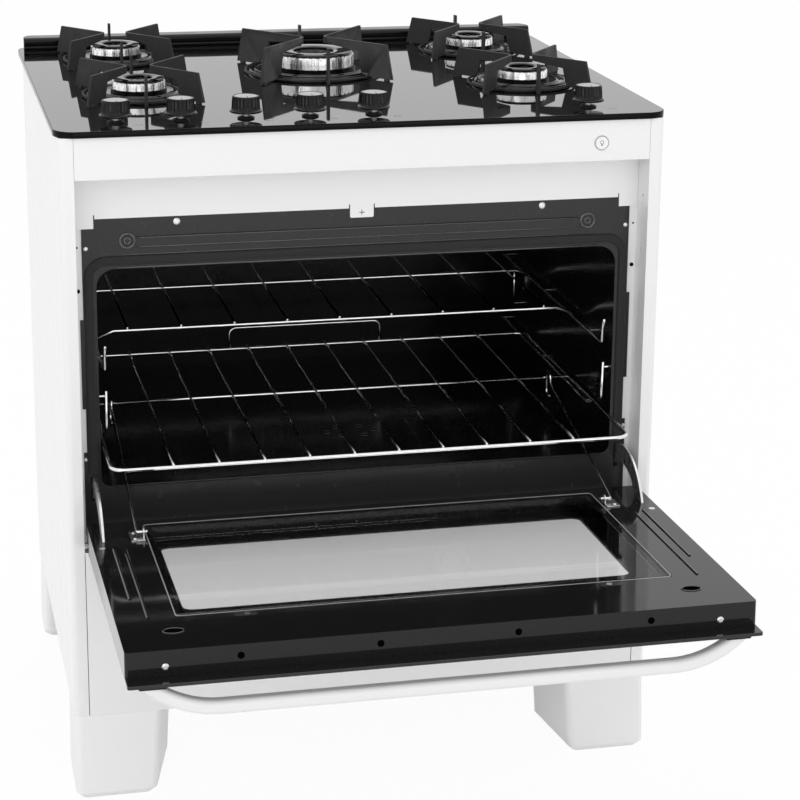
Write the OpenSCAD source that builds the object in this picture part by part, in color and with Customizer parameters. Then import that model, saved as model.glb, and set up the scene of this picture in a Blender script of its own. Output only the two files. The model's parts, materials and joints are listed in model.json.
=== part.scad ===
// Freestanding gas range with a glass top, five burners and a drop-down oven door.
// Millimetres. X runs left to right, Y front to back, Z up from the floor.
// Sizes along Y are counted from the front face of the two posts, then the whole
// range is moved so that its footprint, with the door open, is centred on the origin.

/* [Glass top] */
// Width of the glass top
glass_w = 765; // [759:1:775]
// How far the glass reaches behind the body
glass_back_reach = 56; // [52:1:66]
// Thickness of the glass top
glass_t = 8; // [6:0.5:10]
// Corner radius of the glass top
glass_corner_r = 27; // [15:1:34]
// How far the glass stands out in front of the posts
glass_front = 4; // [2:0.5:6]

/* [Cabinet] */
// Width over the side panels
body_w = 757; // [752:1:758]
// Depth from the front of the posts to the back of the rear flanges
body_d = 590; // [585:1:600]
// Height of the underside of the glass above the floor
body_top = 858; // [850:1:880]
// Height of the feet
foot_h = 112; // [90:1:125]
// Thickness of the sheet metal
sheet = 1.2; // [1:0.1:1.4]
// Width of the front face of each post
post_w = 18.5; // [17:0.5:20]
// Outer radius of the front corner of each post
post_r = 8; // [5:0.5:10]
// Depth of the recess that the closed door fills
recess = 42; // [41:0.5:44]
// Height of the control panel
control_h = 52; // [48:1:56]
// Top edge of the kick panel above the floor
kick_top = 333; // [325:0.5:333]

/* [Oven] */
// Space between the oven and the outside of each side panel
oven_side_gap = 45.5; // [44.5:0.5:53]
// Underside of the oven floor above the floor of the room
oven_floor_z = 400; // [396:1:402]
// Underside of the oven roof above the floor of the room
oven_roof_z = 692; // [686:1:700]
// Space between the oven's back wall and the back of the body
oven_rear_gap = 34; // [32:1:37]
// Lower lip of the oven mouth
lip_z = 404; // [403:0.5:406]
// Height of the wires of the upper shelf
upper_shelf_z = 565; // [555:1:600]
// Height of the wires of the lower shelf
lower_shelf_z = 457; // [450:1:465]
// Radius of the thick shelf wires
frame_wire_r = 2.5; // [2:0.1:2.8]
// Radius of the thin shelf wires
thin_wire_r = 1.5; // [1:0.1:1.8]
// Radius of the side racks' wire
rack_wire_r = 2; // [1.6:0.1:2.2]

/* [Door] */
// Height of the hinge axis above the floor
hinge_z = 340; // [339:0.5:345]
// Distance of the hinge axis behind the front of the posts
hinge_y = 6; // [5.5:0.1:7]
// How far above level the open door stands, in degrees
door_tilt = 1.8; // [0:0.1:4]
// Distance of the door's upper edge from the hinge axis
door_h = 461; // [450:1:462]
// Thickness of the outer door glass
door_glass_t = 4; // [3:0.5:5]
// Thickness of the inner door glass
inner_glass_t = 4; // [3:0.5:4]
// Width of the door's frame beside the inner glass
pane_margin = 67.5; // [66:0.5:95]
// Radius of the hinge pins
hinge_pin_r = 3; // [2.5:0.1:3.2]
// Inner radius of the hinge's curved stay
stay_r_in = 60; // [58:0.5:64]
// Outer radius of the hinge's curved stay
stay_r_out = 84; // [80:0.5:85]
// Height of the handle bar's section
handle_h = 16; // [12:0.5:20]
// Depth of the handle bar's section
handle_d = 18; // [14:0.5:20]
// Finger gap between the handle bar and the door glass
handle_gap = 24; // [20:0.5:30]

/* [Burners] */
// Sideways distance of the outer burners from the middle
burner_x = 255; // [250:1:260]
// Distance of the front burners from the front of the posts
burner_front_y = 228; // [215:1:235]
// Distance of the rear burners from the back of the body
burner_rear_gap = 82; // [80:1:90]
// Distance of the middle burner from the front of the posts
burner_mid_y = 368; // [360:1:376]
// Outer radius of the small burners' crowns
small_crown_r = 34; // [30:0.5:36]
// Outer radius of the middle burner's crown
mid_crown_r = 54.5; // [50:0.5:57]
// Outer radius of the small spill rings
small_ring_r = 66.5; // [60:0.5:68]
// Outer radius of the middle spill ring
mid_ring_r = 88; // [80:0.5:90]
// Height of the small grates' top above the glass
small_grate_h = 39; // [35:0.5:44]
// Height of the middle grate's top above the glass
mid_grate_h = 48; // [44:0.5:54]
// Thickness of the grates' plates
grate_t = 3.2; // [2:0.1:4]

/* [Knobs] */
// Distance of the knobs from the front of the posts
knob_y = 48; // [46:0.5:52]
// Radius of a knob's skirt
knob_skirt_r = 20; // [18:0.5:22]
// Radius of a knob's top
knob_top_r = 16.5; // [14:0.5:17]
// Height of a knob
knob_h = 21; // [18:0.5:24]
// Gap between the glass and a knob
knob_lift = 8; // [7:0.5:10]
// How far a knob can be pushed down
knob_push = 3; // [2:0.5:3.5]
// Radius of the spindles
spindle_r = 4; // [3:0.1:4.5]
// Diameter of the lamp button
button_d = 18; // [14:0.5:19]

/* [Hidden] */
$fn = 48;

white = "whitesmoke";
enamel = "#26262a";
chrome = "silver";

// Clearances
seam = 0.3;          // between sheet-metal pieces that meet at a visible seam
run = 0.05;          // radial, between a pin or spindle and its hole
free = 0.5;          // between parts that move past each other

// Cabinet
half_w = body_w / 2;
post_x = half_w - post_w;
rear_face = body_d + sheet;
glass_top = body_top + glass_t;
oven_back_y = body_d - oven_rear_gap;
burner_rear_y = body_d - burner_rear_gap;
glass_rear = body_d + glass_back_reach;
control_bottom = body_top - control_h;
flange_w = 14;                       // of the posts' flanges behind the oven front
rail_bottom = control_bottom - 57;   // lower edge of the white rail
rail_step = 12;                      // extra drop of the rail beside the posts
rail_step_x = post_x - 25;
rail_top = body_top - 43;
tray_front = recess + 34;
oven_burner_drop = 28;

// Door, measured from the hinge axis: u outwards along the door, h across it
door_half_w = post_x - 2.5;
door_face = recess - 4 - seam - hinge_y;   // inner face of the inner panel
glass_face = -1.3;                         // outer face of the outer glass
glass_back = glass_face + door_glass_t;
tray_near = 9;
tray_far = door_h - 23;
door_skin = 1;
pane_near = 26;
pane_far = door_h - 119;
pane_half = door_half_w - pane_margin;
arm_x = post_x - 18.5;
arm_t = 3;
ear_r = hinge_pin_r + 2.5;
glass_u0 = ear_r + 0.5;

// Shelf links: a hook on each side of the door pulls the lower shelf
link_x = door_half_w - 55.5;
link_r = 1.4;
hook_u = 72;
hook_h = door_face + 7.3;
link_y = 216;                        // crossbar of the lower shelf that the links pull
hook_angle = door_tilt + atan2(hook_h, hook_u);
hook_r = norm([hook_u, hook_h]);
hook_y = hinge_y - hook_r * cos(hook_angle);
hook_z = hinge_z + hook_r * sin(hook_angle);
eye_r = 8.8;

// Whole range: the door's upper edge is furthest forward, the glass top furthest back
front_tip = hinge_y - door_h * cos(door_tilt) + glass_face * sin(door_tilt);
y_shift = -(front_tip + glass_rear) / 2;

// Burner data: [x, y, crown radius, spill ring radius]
burners = [
  [-burner_x, burner_front_y, small_crown_r, small_ring_r],
  [burner_x, burner_front_y, small_crown_r, small_ring_r],
  [-burner_x, burner_rear_y, small_crown_r, small_ring_r],
  [burner_x, burner_rear_y, small_crown_r, small_ring_r],
  [0, burner_mid_y, mid_crown_r, mid_ring_r]
];
knob_share = [-0.4016, -0.2972, -0.1915, -0.0859, 0.0198, 0.3857];
knob_x = [for (k = knob_share) round(k * body_w)];
button_x = post_x - 64;
button_z = body_top - 29;

// Gas parts under the glass
manifold_z = body_top - 30;
manifold_w = 16;
valve_w = 22;
valve_z = manifold_z + manifold_w / 2;
valve_h = 12;
collar_h = 5;
tube_r = 3;
tube_z = valve_z + valve_h / 2;
neck_gap = 0.3;
inlet_x = 8 - post_x;
inlet_r = 5;
inlet_z = 780;
inlet_len = 25;
spindle_base = valve_z + 3;
spindle_top = glass_top + knob_lift + knob_h - 7;
knob_base = glass_top + knob_lift;

// ---------- helpers ----------

module place() translate([0, y_shift, 0]) children();

module both_sides() {
  children();
  mirror([1, 0, 0]) children();
}

// Door coordinates: x, -u, h
module in_door() translate([0, hinge_y, hinge_z]) rotate([-door_tilt, 0, 0]) children();

// Sheet that faces the front: 2D x and z
module front_sheet(y, t) translate([0, y + t, 0]) rotate([90, 0, 0]) linear_extrude(t) children();

// Sheet that faces the side: 2D y and z
module side_sheet(x, t) translate([x, 0, 0]) rotate([90, 0, 90]) linear_extrude(t) children();

module box(low, high) translate(low) cube(high - low);

module rect(low, high) translate(low) square(high - low);

module round_rect(low, high, r) {
  rect([low[0] + r, low[1]], [high[0] - r, high[1]]);
  rect([low[0], low[1] + r], [high[0], high[1] - r]);
  for (x = [low[0] + r, high[0] - r], y = [low[1] + r, high[1] - r])
    translate([x, y]) circle(r);
}

module rod(a, b, r) {
  d = b - a;
  translate(a)
    rotate([0, acos(d[2] / norm(d)), atan2(d[1], d[0])])
      cylinder(h = norm(d), r = r, $fn = 24);
}

function unit(v) = v / norm(v);

// Length that a bend of radius bend_r takes from both straights beside point i
function bend_cut(p, i, bend_r) =
  i == 0 || i == len(p) - 1 ? 0
  : bend_r * tan(acos(unit(p[i] - p[i - 1]) * unit(p[i + 1] - p[i])) / 2);

// Wire with any bends: straights that meet in balls a little fuller than the wire
module wire(points, r, fuller = 0.15) {
  for (i = [1 : len(points) - 1]) rod(points[i - 1], points[i], r);
  for (i = [1 : len(points) - 2])
    translate(points[i]) sphere(r + fuller, $fn = 24);
}

// Wire of square corners, with a true bend at each inner point
module square_wire(p, r, bend_r) {
  for (i = [1 : len(p) - 1]) {
    d = unit(p[i] - p[i - 1]);
    rod(p[i - 1] + d * bend_cut(p, i - 1, bend_r), p[i] - d * bend_cut(p, i, bend_r), r);
  }
  for (i = [1 : len(p) - 2]) {
    d = unit(p[i] - p[i - 1]);
    turn = acos(d * unit(p[i + 1] - p[i]));
    n = unit(cross(d, p[i + 1] - p[i]));
    out = cross(d, n);
    c = p[i] - d * bend_cut(p, i, bend_r) - out * bend_r;
    multmatrix([[out[0], d[0], n[0], c[0]], [out[1], d[1], n[1], c[1]],
                [out[2], d[2], n[2], c[2]], [0, 0, 0, 1]])
      rotate_extrude(angle = turn) translate([bend_r, 0]) circle(r, $fn = 24);
  }
}

// ---------- cabinet ----------

module side_panel() {
  flange_y = recess + sheet;
  difference() {
    translate([0, 0, foot_h])
      linear_extrude(body_top - foot_h) {
        rect([half_w - sheet, post_r], [half_w, body_d]);
        translate([half_w - post_r, post_r])
          intersection() {
            difference() {
              circle(post_r);
              circle(post_r - sheet);
            }
            rect([0, -post_r], [post_r, 0]);
          }
        rect([post_x, 0], [half_w - post_r, sheet]);
        rect([post_x, 0], [post_x + sheet, flange_y + sheet]);
        rect([post_x - flange_w, flange_y], [post_x + sheet, flange_y + sheet]);
        rect([half_w - 16, body_d - sheet], [half_w, body_d]);
      }
    // hole for the hinge pin and the small fixing holes of the post
    translate([post_x - 1, hinge_y, hinge_z])
      rotate([0, 90, 0]) cylinder(h = 4, r = hinge_pin_r + run);
    for (z = [control_bottom - 51, control_bottom - 121])
      translate([post_x - 1, recess / 2, z]) rotate([0, 90, 0]) cylinder(h = 4, r = 2);
    // the flange stops short of the control panel and clears the door's stays
    box([post_x - flange_w - 1, flange_y - 1, control_bottom], [post_x - seam, recess + 5, body_top + 1]);
    box([post_x - flange_w - 1, flange_y - 1, foot_h - 1], [arm_x + arm_t + 5, recess + 5, lip_z + 18]);
  }
}

module side_panel_right() {
  color(white) place() side_panel();
}

module side_panel_left() {
  color(white) place() mirror([1, 0, 0]) side_panel();
}

module rear_panel() {
  color(white) place() difference() {
    box([-half_w + 2, body_d, foot_h + 2], [half_w - 2, rear_face, body_top - 2]);
    translate([inlet_x, body_d - 1, inlet_z])
      rotate([-90, 0, 0]) cylinder(h = 4, r = inlet_r + 1.5);
    for (i = [-6 : 6])
      box([i * 44 - 16, body_d - 1, 560], [i * 44 + 16, rear_face + 1, 564]);
  }
}

module flue_duct() {
  duct_rear = glass_rear - 6;
  color(white) place() difference() {
    box([-half_w + 6.5, rear_face, body_top - 43], [half_w - 6.5, duct_rear, body_top]);
    box([-half_w + 8, rear_face + sheet, body_top - 41], [half_w - 8, duct_rear - sheet, body_top - 2]);
    for (i = [-7 : 7])
      box([i * 44 - 14, duct_rear - 3, body_top - 30], [i * 44 + 14, duct_rear + 1, body_top - 18]);
  }
}

module base_frame() {
  base_y0 = recess + 4;
  color(white) place() difference() {
    union() {
      box([-half_w + sheet, base_y0, foot_h], [half_w - sheet, body_d - sheet, foot_h + sheet]);
      box([-post_x + 4, base_y0, foot_h], [post_x - 4, base_y0 + sheet, foot_h + 30]);
      box([-post_x + 4, body_d - 2 * sheet, foot_h], [post_x - 4, body_d - sheet, foot_h + 30]);
      both_sides() box([half_w * 0.46, base_y0, foot_h], [half_w * 0.54, body_d - sheet, foot_h + 8]);
    }
    for (x = [-half_w * 0.74, 0, half_w * 0.74], y = [body_d * 0.34, body_d * 0.54, body_d * 0.75])
      translate([x, y, foot_h - 1]) cylinder(h = 4, r = 10);
  }
}

module kick_panel() {
  half = post_x - seam;
  color(white) place() {
    box([-half, 0, foot_h], [half, sheet, kick_top]);
    box([-half, 0, foot_h], [half, recess, foot_h + sheet]);
    box([-arm_x, 0, foot_h], [arm_x, recess + 4, foot_h + sheet]);
    box([-rail_step_x, 0, kick_top - sheet], [rail_step_x, 15, kick_top]);
    both_sides() box([half - sheet, 0, foot_h], [half, 20, kick_top - 12]);
  }
}

module front_rail() {
  half = post_x - seam;
  color(white) place() {
    front_sheet(recess - sheet, sheet) difference() {
      union() {
        rect([-half, rail_bottom], [half, rail_top]);
        both_sides() rect([rail_step_x, rail_bottom - rail_step], [half, rail_bottom + 1]);
        round_rect([-16, rail_bottom - rail_step], [14, rail_bottom + 5], 2);
      }
      for (x = [-17.5, 14]) rect([x, rail_bottom - 1], [x + 1.5, rail_bottom + 5]);
      both_sides() rect([rail_step_x - 1.5, rail_bottom - 1], [rail_step_x, rail_bottom + 5]);
      rect([-4.5, rail_bottom - 6], [2.5, rail_bottom - 5]);
      rect([-1.5, rail_bottom - 9], [-0.5, rail_bottom - 2]);
    }
    box([-rail_step_x, recess - sheet, rail_top - sheet], [rail_step_x, tray_front, rail_top]);
  }
}

module control_panel() {
  half = post_x - seam;
  color(white) place() difference() {
    union() {
      box([-half, 0, control_bottom], [half, sheet, body_top]);
      box([-half, 0, body_top - sheet], [half, 20, body_top]);
      box([-half, 0, control_bottom], [half, recess - sheet, control_bottom + sheet]);
      both_sides() box([half - sheet, 0, control_bottom], [half, 20, body_top]);
    }
    translate([button_x, -1, button_z])
      rotate([-90, 0, 0]) cylinder(h = 5, r = button_d / 2 + seam);
  }
}

// Foot: its inner side runs back towards the middle, its rear edge rises from the floor
module foot_slab(z, outer, inner, slant, front, back) {
  r = 9;
  translate([0, 0, z]) linear_extrude(0.5)
    for (p = [[outer - r, front + r], [inner + r, front + r],
              [outer - r, back - r], [inner + r - slant, back - r]])
      translate(p) circle(r, $fn = 32);
}

module foot(front, back) {
  hull() {
    foot_slab(foot_h - 0.5, half_w - 0.5, half_w - 111, 20, front, back);
    foot_slab(foot_h * 0.2, half_w + 1, half_w - 106, 20, front - 6, back - 3);
    foot_slab(8, half_w + 0.5, half_w - 103, 4, front - 8, back - 30);
    foot_slab(0, half_w - 6, half_w - 96, 0, front - 2, back - 40);
  }
}

module feet() {
  color(white) place() both_sides() {
    foot(0, 92);
    translate([0, body_d - 13, 0]) mirror([0, 1, 0]) foot(0, 92);
  }
}

// ---------- glass top ----------

module cooktop_glass() {
  color([0.05, 0.05, 0.06]) place() difference() {
    translate([0, 0, body_top]) linear_extrude(glass_t)
      round_rect([-glass_w / 2, -glass_front], [glass_w / 2, glass_rear], glass_corner_r);
    for (x = knob_x)
      translate([x, knob_y, body_top - 1]) cylinder(h = glass_t + 2, r = spindle_r + 3);
    for (b = burners)
      translate([b[0], b[1], body_top - 1]) cylinder(h = glass_t + 2, r = b[2] + 6);
  }
}

module rear_trim() {
  depth = 34;
  tall = 17;
  tube = 6;
  end_r = 25;
  half = glass_w / 2 - 8;
  back = glass_rear;
  color("#1c1c1e") place() intersection() {
    side_sheet(-half, 2 * half) {
      rect([back - depth + 4, glass_top], [back, glass_top + tall - tube]);
      rect([back - depth + tube, glass_top + tall - 2 * tube], [back - tube, glass_top + tall]);
      for (y = [back - depth + tube, back - tube])
        translate([y, glass_top + tall - tube]) circle(tube);
      translate([back - depth + 4, glass_top + 3]) circle(3);
    }
    translate([0, 0, glass_top]) linear_extrude(tall)
      round_rect([-half, back - depth - 30], [half, back], end_r);
  }
}

module spindle_grommets() {
  color("#101010") place() for (x = knob_x)
    translate([x, knob_y, 0]) rotate_extrude() {
      rect([spindle_r + 0.6, glass_top], [10.5, glass_top + 2]);
      rect([spindle_r + 0.6, glass_top + 1], [8, glass_top + 3]);
      rect([spindle_r + 0.6, body_top], [spindle_r + 2.95, glass_top + 1]);
    }
}

// ---------- burners ----------

ring_seat = 6;      // height of the spill rings' inner step above the glass
flange_h = 4;       // height of the burner's black flange

module spill_rings() {
  color("#161616") place() for (b = burners)
    translate([b[0], b[1], glass_top]) {
      neck = b[2] - 4;
      difference() {
        rotate_extrude($fn = 96) {
          rect([neck, 0], [b[3], 2.5]);
          translate([b[3] - 2.5, 2.5]) circle(2.5, $fn = 24);
          translate([b[3] - 9, 3.5]) circle(3, $fn = 24);
          rect([neck, 2], [b[3] - 9, 4.5]);
          rect([neck, 4], [b[2] + 14, ring_seat]);
          rect([neck, -glass_t], [neck + 1.5, 1]);
        }
        rotate([0, 0, 35]) translate([b[2] + 3.2, 0, -glass_t - 1]) cylinder(h = 20, r = 2.8);
      }
    }
}

module burner_bodies() {
  tray_z = rail_top + sheet;
  color("#202020") place() for (b = burners)
    translate([b[0], b[1], 0]) {
      neck = b[2] - 4;
      rotate_extrude($fn = 64) {
        rect([6, tray_z], [neck - 6, tray_z + 14]);
        rect([6, tray_z + 10], [neck - neck_gap, glass_top + ring_seat + 1]);
        rect([b[2] * 0.45, glass_top + ring_seat], [b[2] + 2, glass_top + ring_seat + flange_h]);
      }
    }
}

module crown(r, h, slots) {
  linear_extrude(h - 6) difference() {
    circle(r, $fn = 96);
    circle(r * 0.62, $fn = 64);
  }
  translate([0, 0, h - 6]) linear_extrude(6) difference() {
    circle(r, $fn = 96);
    circle(r * 0.62, $fn = 64);
    for (i = [0 : slots - 1])
      rotate(i * 360 / slots) rect([r * 0.85, -1], [r + 1, 1]);
  }
}

module burner_crowns() {
  seat = glass_top + ring_seat + flange_h;
  color("#d8d8d8") place() for (b = burners)
    translate([b[0], b[1], seat])
      crown(b[2], b[3] > small_ring_r ? 20 : 14, b[3] > small_ring_r ? 36 : 24);
}

module spark_electrodes() {
  color("ivory") place() for (b = burners)
    translate([b[0], b[1], 0]) rotate([0, 0, 35]) translate([b[2] + 3.2, 0, 0]) {
      translate([0, 0, rail_top + sheet])
        cylinder(h = glass_top + ring_seat - 1 - rail_top - sheet, r = 2.5, $fn = 24);
      translate([0, 0, glass_top])
        cylinder(h = ring_seat + flange_h + 3, r = 0.8, $fn = 16);
    }
}

// One leg of a grate: a plate on edge, deep at its outer half and a slim arm inwards
module grate_leg(s0, s1, s_top, z0, z1, arm) {
  mid = s0 + (s1 - s0) * 0.48;
  front_sheet(-grate_t / 2, grate_t)
    polygon([[s0, z1 - arm], [mid, z1 - arm - 4], [mid + 6, z0], [s1, z0], [s_top, z1], [s0, z1]]);
}

// Upright finger in front of or behind the burner, standing on the grate's base ring
module grate_finger(s, ring_r, z0, z1) {
  front_sheet(-grate_t / 2, grate_t)
    polygon([[ring_r - 1, z0], [s, z0], [s - 1, z1], [s - 10, z1], [s - 11, z0 + 8], [ring_r - 1, z0 + 2.5]]);
}

// Pair of legs joined by a rounded bend beside the burner, opening towards +X
module grate_vee(near, out_x, out_y, top_in, z0, z1, arm, r) {
  steep = atan2(out_y, out_x - near);
  apex = near - r * (1 / sin(steep) - 1);
  length = norm([out_x - apex, out_y]);
  leg_angle = atan2(out_y, out_x - apex);
  for (s = [-1, 1])
    translate([apex, 0, 0]) rotate([0, 0, s * leg_angle])
      grate_leg(r / tan(leg_angle) - 0.4, length, length - top_in, z0, z1, arm);
  translate([apex + r / sin(leg_angle), 0, z1 - arm])
    rotate([0, 0, 90 + leg_angle]) rotate_extrude(angle = 180 - 2 * leg_angle, $fn = 64)
      rect([r - grate_t / 2, 0], [r + grate_t / 2, arm]);
}

// Whole grate: two vees, a front and a rear finger, a base ring and six feet
module grate(out_x, out_y, finger, ring_r, h, near) {
  z0 = glass_top + 2;
  z1 = glass_top + h;
  for (side = [0, 1]) mirror([side, 0, 0]) {
    grate_vee(near, out_x, out_y, 10, z0, z1, 9, 14);
    for (s = [-1, 1]) translate([out_x - 6, s * (out_y - 8), glass_top]) cylinder(h = 3, r = 4);
  }
  for (a = [90, -90]) rotate([0, 0, a]) {
    grate_finger(finger, ring_r, z0, z1);
    translate([finger - 5.5, 0, glass_top]) cylinder(h = 3, r = 2.5);
  }
  translate([0, 0, z0]) rotate_extrude($fn = 96) rect([ring_r - 1.25, 0], [ring_r + 1.25, 2.5]);
}

// Room that a spill ring takes under a grate
module ring_room(ring_r) {
  translate([0, 0, glass_top - 1]) cylinder(h = ring_seat + 2, r = ring_r + 1.2, $fn = 96);
}

module small_grate(i) {
  color("#2b2b2d") place() translate([burners[i][0], burners[i][1], 0]) difference() {
    grate(73.5, 79, 87, small_ring_r + 5, small_grate_h, 16);
    ring_room(small_ring_r);
  }
}

module grate_1() {
  small_grate(0);
}

module grate_2() {
  small_grate(1);
}

module grate_3() {
  small_grate(2);
}

module grate_4() {
  small_grate(3);
}

module grate_5() {
  color("#2b2b2d") place() translate([burners[4][0], burners[4][1], 0]) difference() {
    grate(89, 97, 110, mid_ring_r + 5, mid_grate_h, 15.5);
    ring_room(mid_ring_r);
  }
}

// ---------- gas and ignition ----------

module burner_tray() {
  half = post_x - 22;
  low = rail_top;
  color(white) place() difference() {
    union() {
      box([-half, tray_front, low], [half, body_d, low + sheet]);
      box([-half, tray_front, low], [half, tray_front + sheet, low + 20]);
      box([-half, body_d - sheet, low], [half, body_d, low + 35]);
      both_sides() box([half - sheet, tray_front, low], [half, body_d, low + 20]);
    }
    for (b = burners) translate([b[0], b[1], low - 1]) cylinder(h = 4, r = 6);
  }
}

module gas_manifold() {
  w = manifold_w / 2;
  end_x = knob_x[0] - 30;
  color("#b8bcc0") place() {
    box([end_x, knob_y - w, manifold_z - w], [knob_x[5] + 38, knob_y + w, manifold_z + w]);
    for (x = [-265, 55, 240])
      box([x - 8, knob_y - 5, rail_top], [x + 8, knob_y + 5, manifold_z - w + 1]);
    square_wire([[end_x + 4, knob_y, manifold_z], [inlet_x, knob_y, manifold_z],
                 [inlet_x, body_d - 30, manifold_z], [inlet_x, body_d - 30, inlet_z],
                 [inlet_x, rear_face - 0.5, inlet_z]], inlet_r - 0.5, 10);
    translate([inlet_x, rear_face - 1, inlet_z]) rotate([-90, 0, 0]) cylinder(h = 1.5, r = inlet_r - 0.5);
    translate([inlet_x, rear_face, inlet_z]) rotate([-90, 0, 0]) cylinder(h = inlet_len, r = inlet_r);
  }
}

module gas_valves() {
  color("#c9b37a") place() for (x = knob_x) translate([x, knob_y, 0]) difference() {
    union() {
      box([-valve_w / 2, -valve_w / 2, valve_z], [valve_w / 2, valve_w / 2, valve_z + valve_h]);
      translate([0, 0, valve_z]) cylinder(h = valve_h + collar_h, r = spindle_r + 3);
    }
    translate([0, 0, spindle_base - 0.5]) cylinder(h = 30, r = spindle_r + run);
  }
}

// Feed tube: from the back of a valve through a list of level points to a burner's neck
function tube_end(from, b) =
  let (d = [b[0], b[1]] - from, n = norm(d)) from + d * ((n - b[2] + 4 + neck_gap - 0.2) / n);

// The union nut stands square on the valve, and the tube leaves it at its own angle
module feed_tube(knob, b) {
  face_y = knob_y + valve_w / 2 + 0.1;
  start = [knob_x[knob], face_y + 4.5];
  last = tube_end(start, b);
  translate([knob_x[knob], face_y, tube_z]) rotate([-90, 0, 0]) cylinder(h = 7, r = tube_r + 1.8);
  rod([start[0], start[1], tube_z], [last[0], last[1], tube_z], tube_r);
}

module burner_tubes() {
  start_y = knob_y + valve_w / 2 + 0.1;
  lane = -195;
  far = burners[2];
  down_x = post_x - 6.5;
  down_y = 112;
  down_z = oven_floor_z - oven_burner_drop;
  color("#b8bcc0") place() {
    feed_tube(0, burners[0]);
    feed_tube(2, burners[4]);
    feed_tube(3, burners[3]);
    feed_tube(4, burners[1]);
    square_wire([[knob_x[1], start_y, tube_z], [knob_x[1], start_y + 30, tube_z],
                 [lane, start_y + 30, tube_z], [lane, far[1], tube_z],
                 [far[0] + far[2] - 4 - neck_gap + 0.2, far[1], tube_z]], tube_r, 8);
    square_wire([[knob_x[5], start_y, tube_z], [knob_x[5], start_y + 12, tube_z],
                 [down_x, start_y + 12, tube_z], [down_x, down_y, tube_z],
                 [down_x, down_y, down_z], [12, down_y, down_z]], tube_r, 8);
  }
}

module ignition_module() {
  color("#303236") place() {
    box([-190, knob_y + 11, rail_top], [-130, tray_front - 2, rail_top + 18]);
    difference() {
      box([button_x - 13, sheet, button_z - 13], [button_x + 13, 24, button_z + 13]);
      translate([button_x, 0, button_z]) rotate([-90, 0, 0]) cylinder(h = 10, r = 12);
      translate([button_x, 0, button_z]) rotate([-90, 0, 0]) cylinder(h = 16, r = 3.5);
    }
  }
}

module light_button() {
  color(white) place() translate([button_x, 0, button_z]) rotate([-90, 0, 0]) {
    translate([0, 0, -1.5]) cylinder(h = 5, r = button_d / 2 - 0.1);
    translate([0, 0, sheet + seam]) cylinder(h = 2, r = 11.2);
    translate([0, 0, 3]) cylinder(h = 10, r = 3.2);
  }
}

// ---------- knobs ----------

module d_shaft(r, h, flat) {
  difference() {
    cylinder(h = h, r = r);
    box([-r - 1, flat, -1], [r + 1, r + 1, h + 1]);
  }
}

module knob(i) {
  color("#141416") place() translate([knob_x[i], knob_y, knob_base]) difference() {
    rotate_extrude($fn = 96)
      polygon([[0, 0], [knob_skirt_r - 1, 0], [knob_skirt_r, 1], [knob_skirt_r, 2.5],
               [knob_top_r + 1.5, 4], [knob_top_r, knob_h - 1.5], [knob_top_r - 1.5, knob_h],
               [0, knob_h]]);
    for (k = [0 : 23])
      rotate([0, 0, k * 15]) translate([knob_top_r + 1.6, 0, 4.5])
        cylinder(h = knob_h, r = 1.3, $fn = 16);
    translate([0, 0, -0.1])
      d_shaft(spindle_r + run, spindle_top + knob_push + 0.6 - knob_base, spindle_r - 1 + run);
  }
}

module spindle(i) {
  color(chrome) place() translate([knob_x[i], knob_y, 0]) {
    flat_from = knob_base - knob_push - 0.8;
    translate([0, 0, spindle_base]) cylinder(h = flat_from - spindle_base, r = spindle_r);
    translate([0, 0, flat_from - 0.5])
      d_shaft(spindle_r, spindle_top - flat_from + 0.5, spindle_r - 1);
  }
}

module knob_1() {
  knob(0);
}

module knob_2() {
  knob(1);
}

module knob_3() {
  knob(2);
}

module knob_4() {
  knob(3);
}

module knob_5() {
  knob(4);
}

module knob_6() {
  knob(5);
}

module spindle_1() {
  spindle(0);
}

module spindle_2() {
  spindle(1);
}

module spindle_3() {
  spindle(2);
}

module spindle_4() {
  spindle(3);
}

module spindle_5() {
  spindle(4);
}

module spindle_6() {
  spindle(5);
}

// ---------- oven ----------

oven_half = half_w - oven_side_gap;
oven_w = 2 * oven_half;
frame_side = post_x - 6;        // outer edge of the oven front beside the posts
frame_side_top = post_x - 10;
frame_low = hinge_z + 1;
mouth_top = oven_roof_z - 7;
lamp_x = oven_half - 83;
lamp_z = oven_roof_z - 52;
wall = 1.2;

// Height at which an arc about the hinge crosses a plane of constant y
function arc_z(r, y) = hinge_z + sqrt(r * r - (y - hinge_y) * (y - hinge_y));

module mouth(grow = 0) {
  low = 11;
  high = 23;
  rect([-oven_half - grow, lip_z + low], [oven_half + grow, mouth_top - high]);
  rect([-oven_half + low, lip_z], [oven_half - low, lip_z + low + 1]);
  rect([-oven_half + high, mouth_top - high - 1], [oven_half - high, mouth_top]);
  for (s = [-1, 1]) {
    translate([s * (oven_half - low), lip_z + low]) circle(low);
    translate([s * (oven_half - high), mouth_top - high]) circle(high);
  }
}

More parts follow.
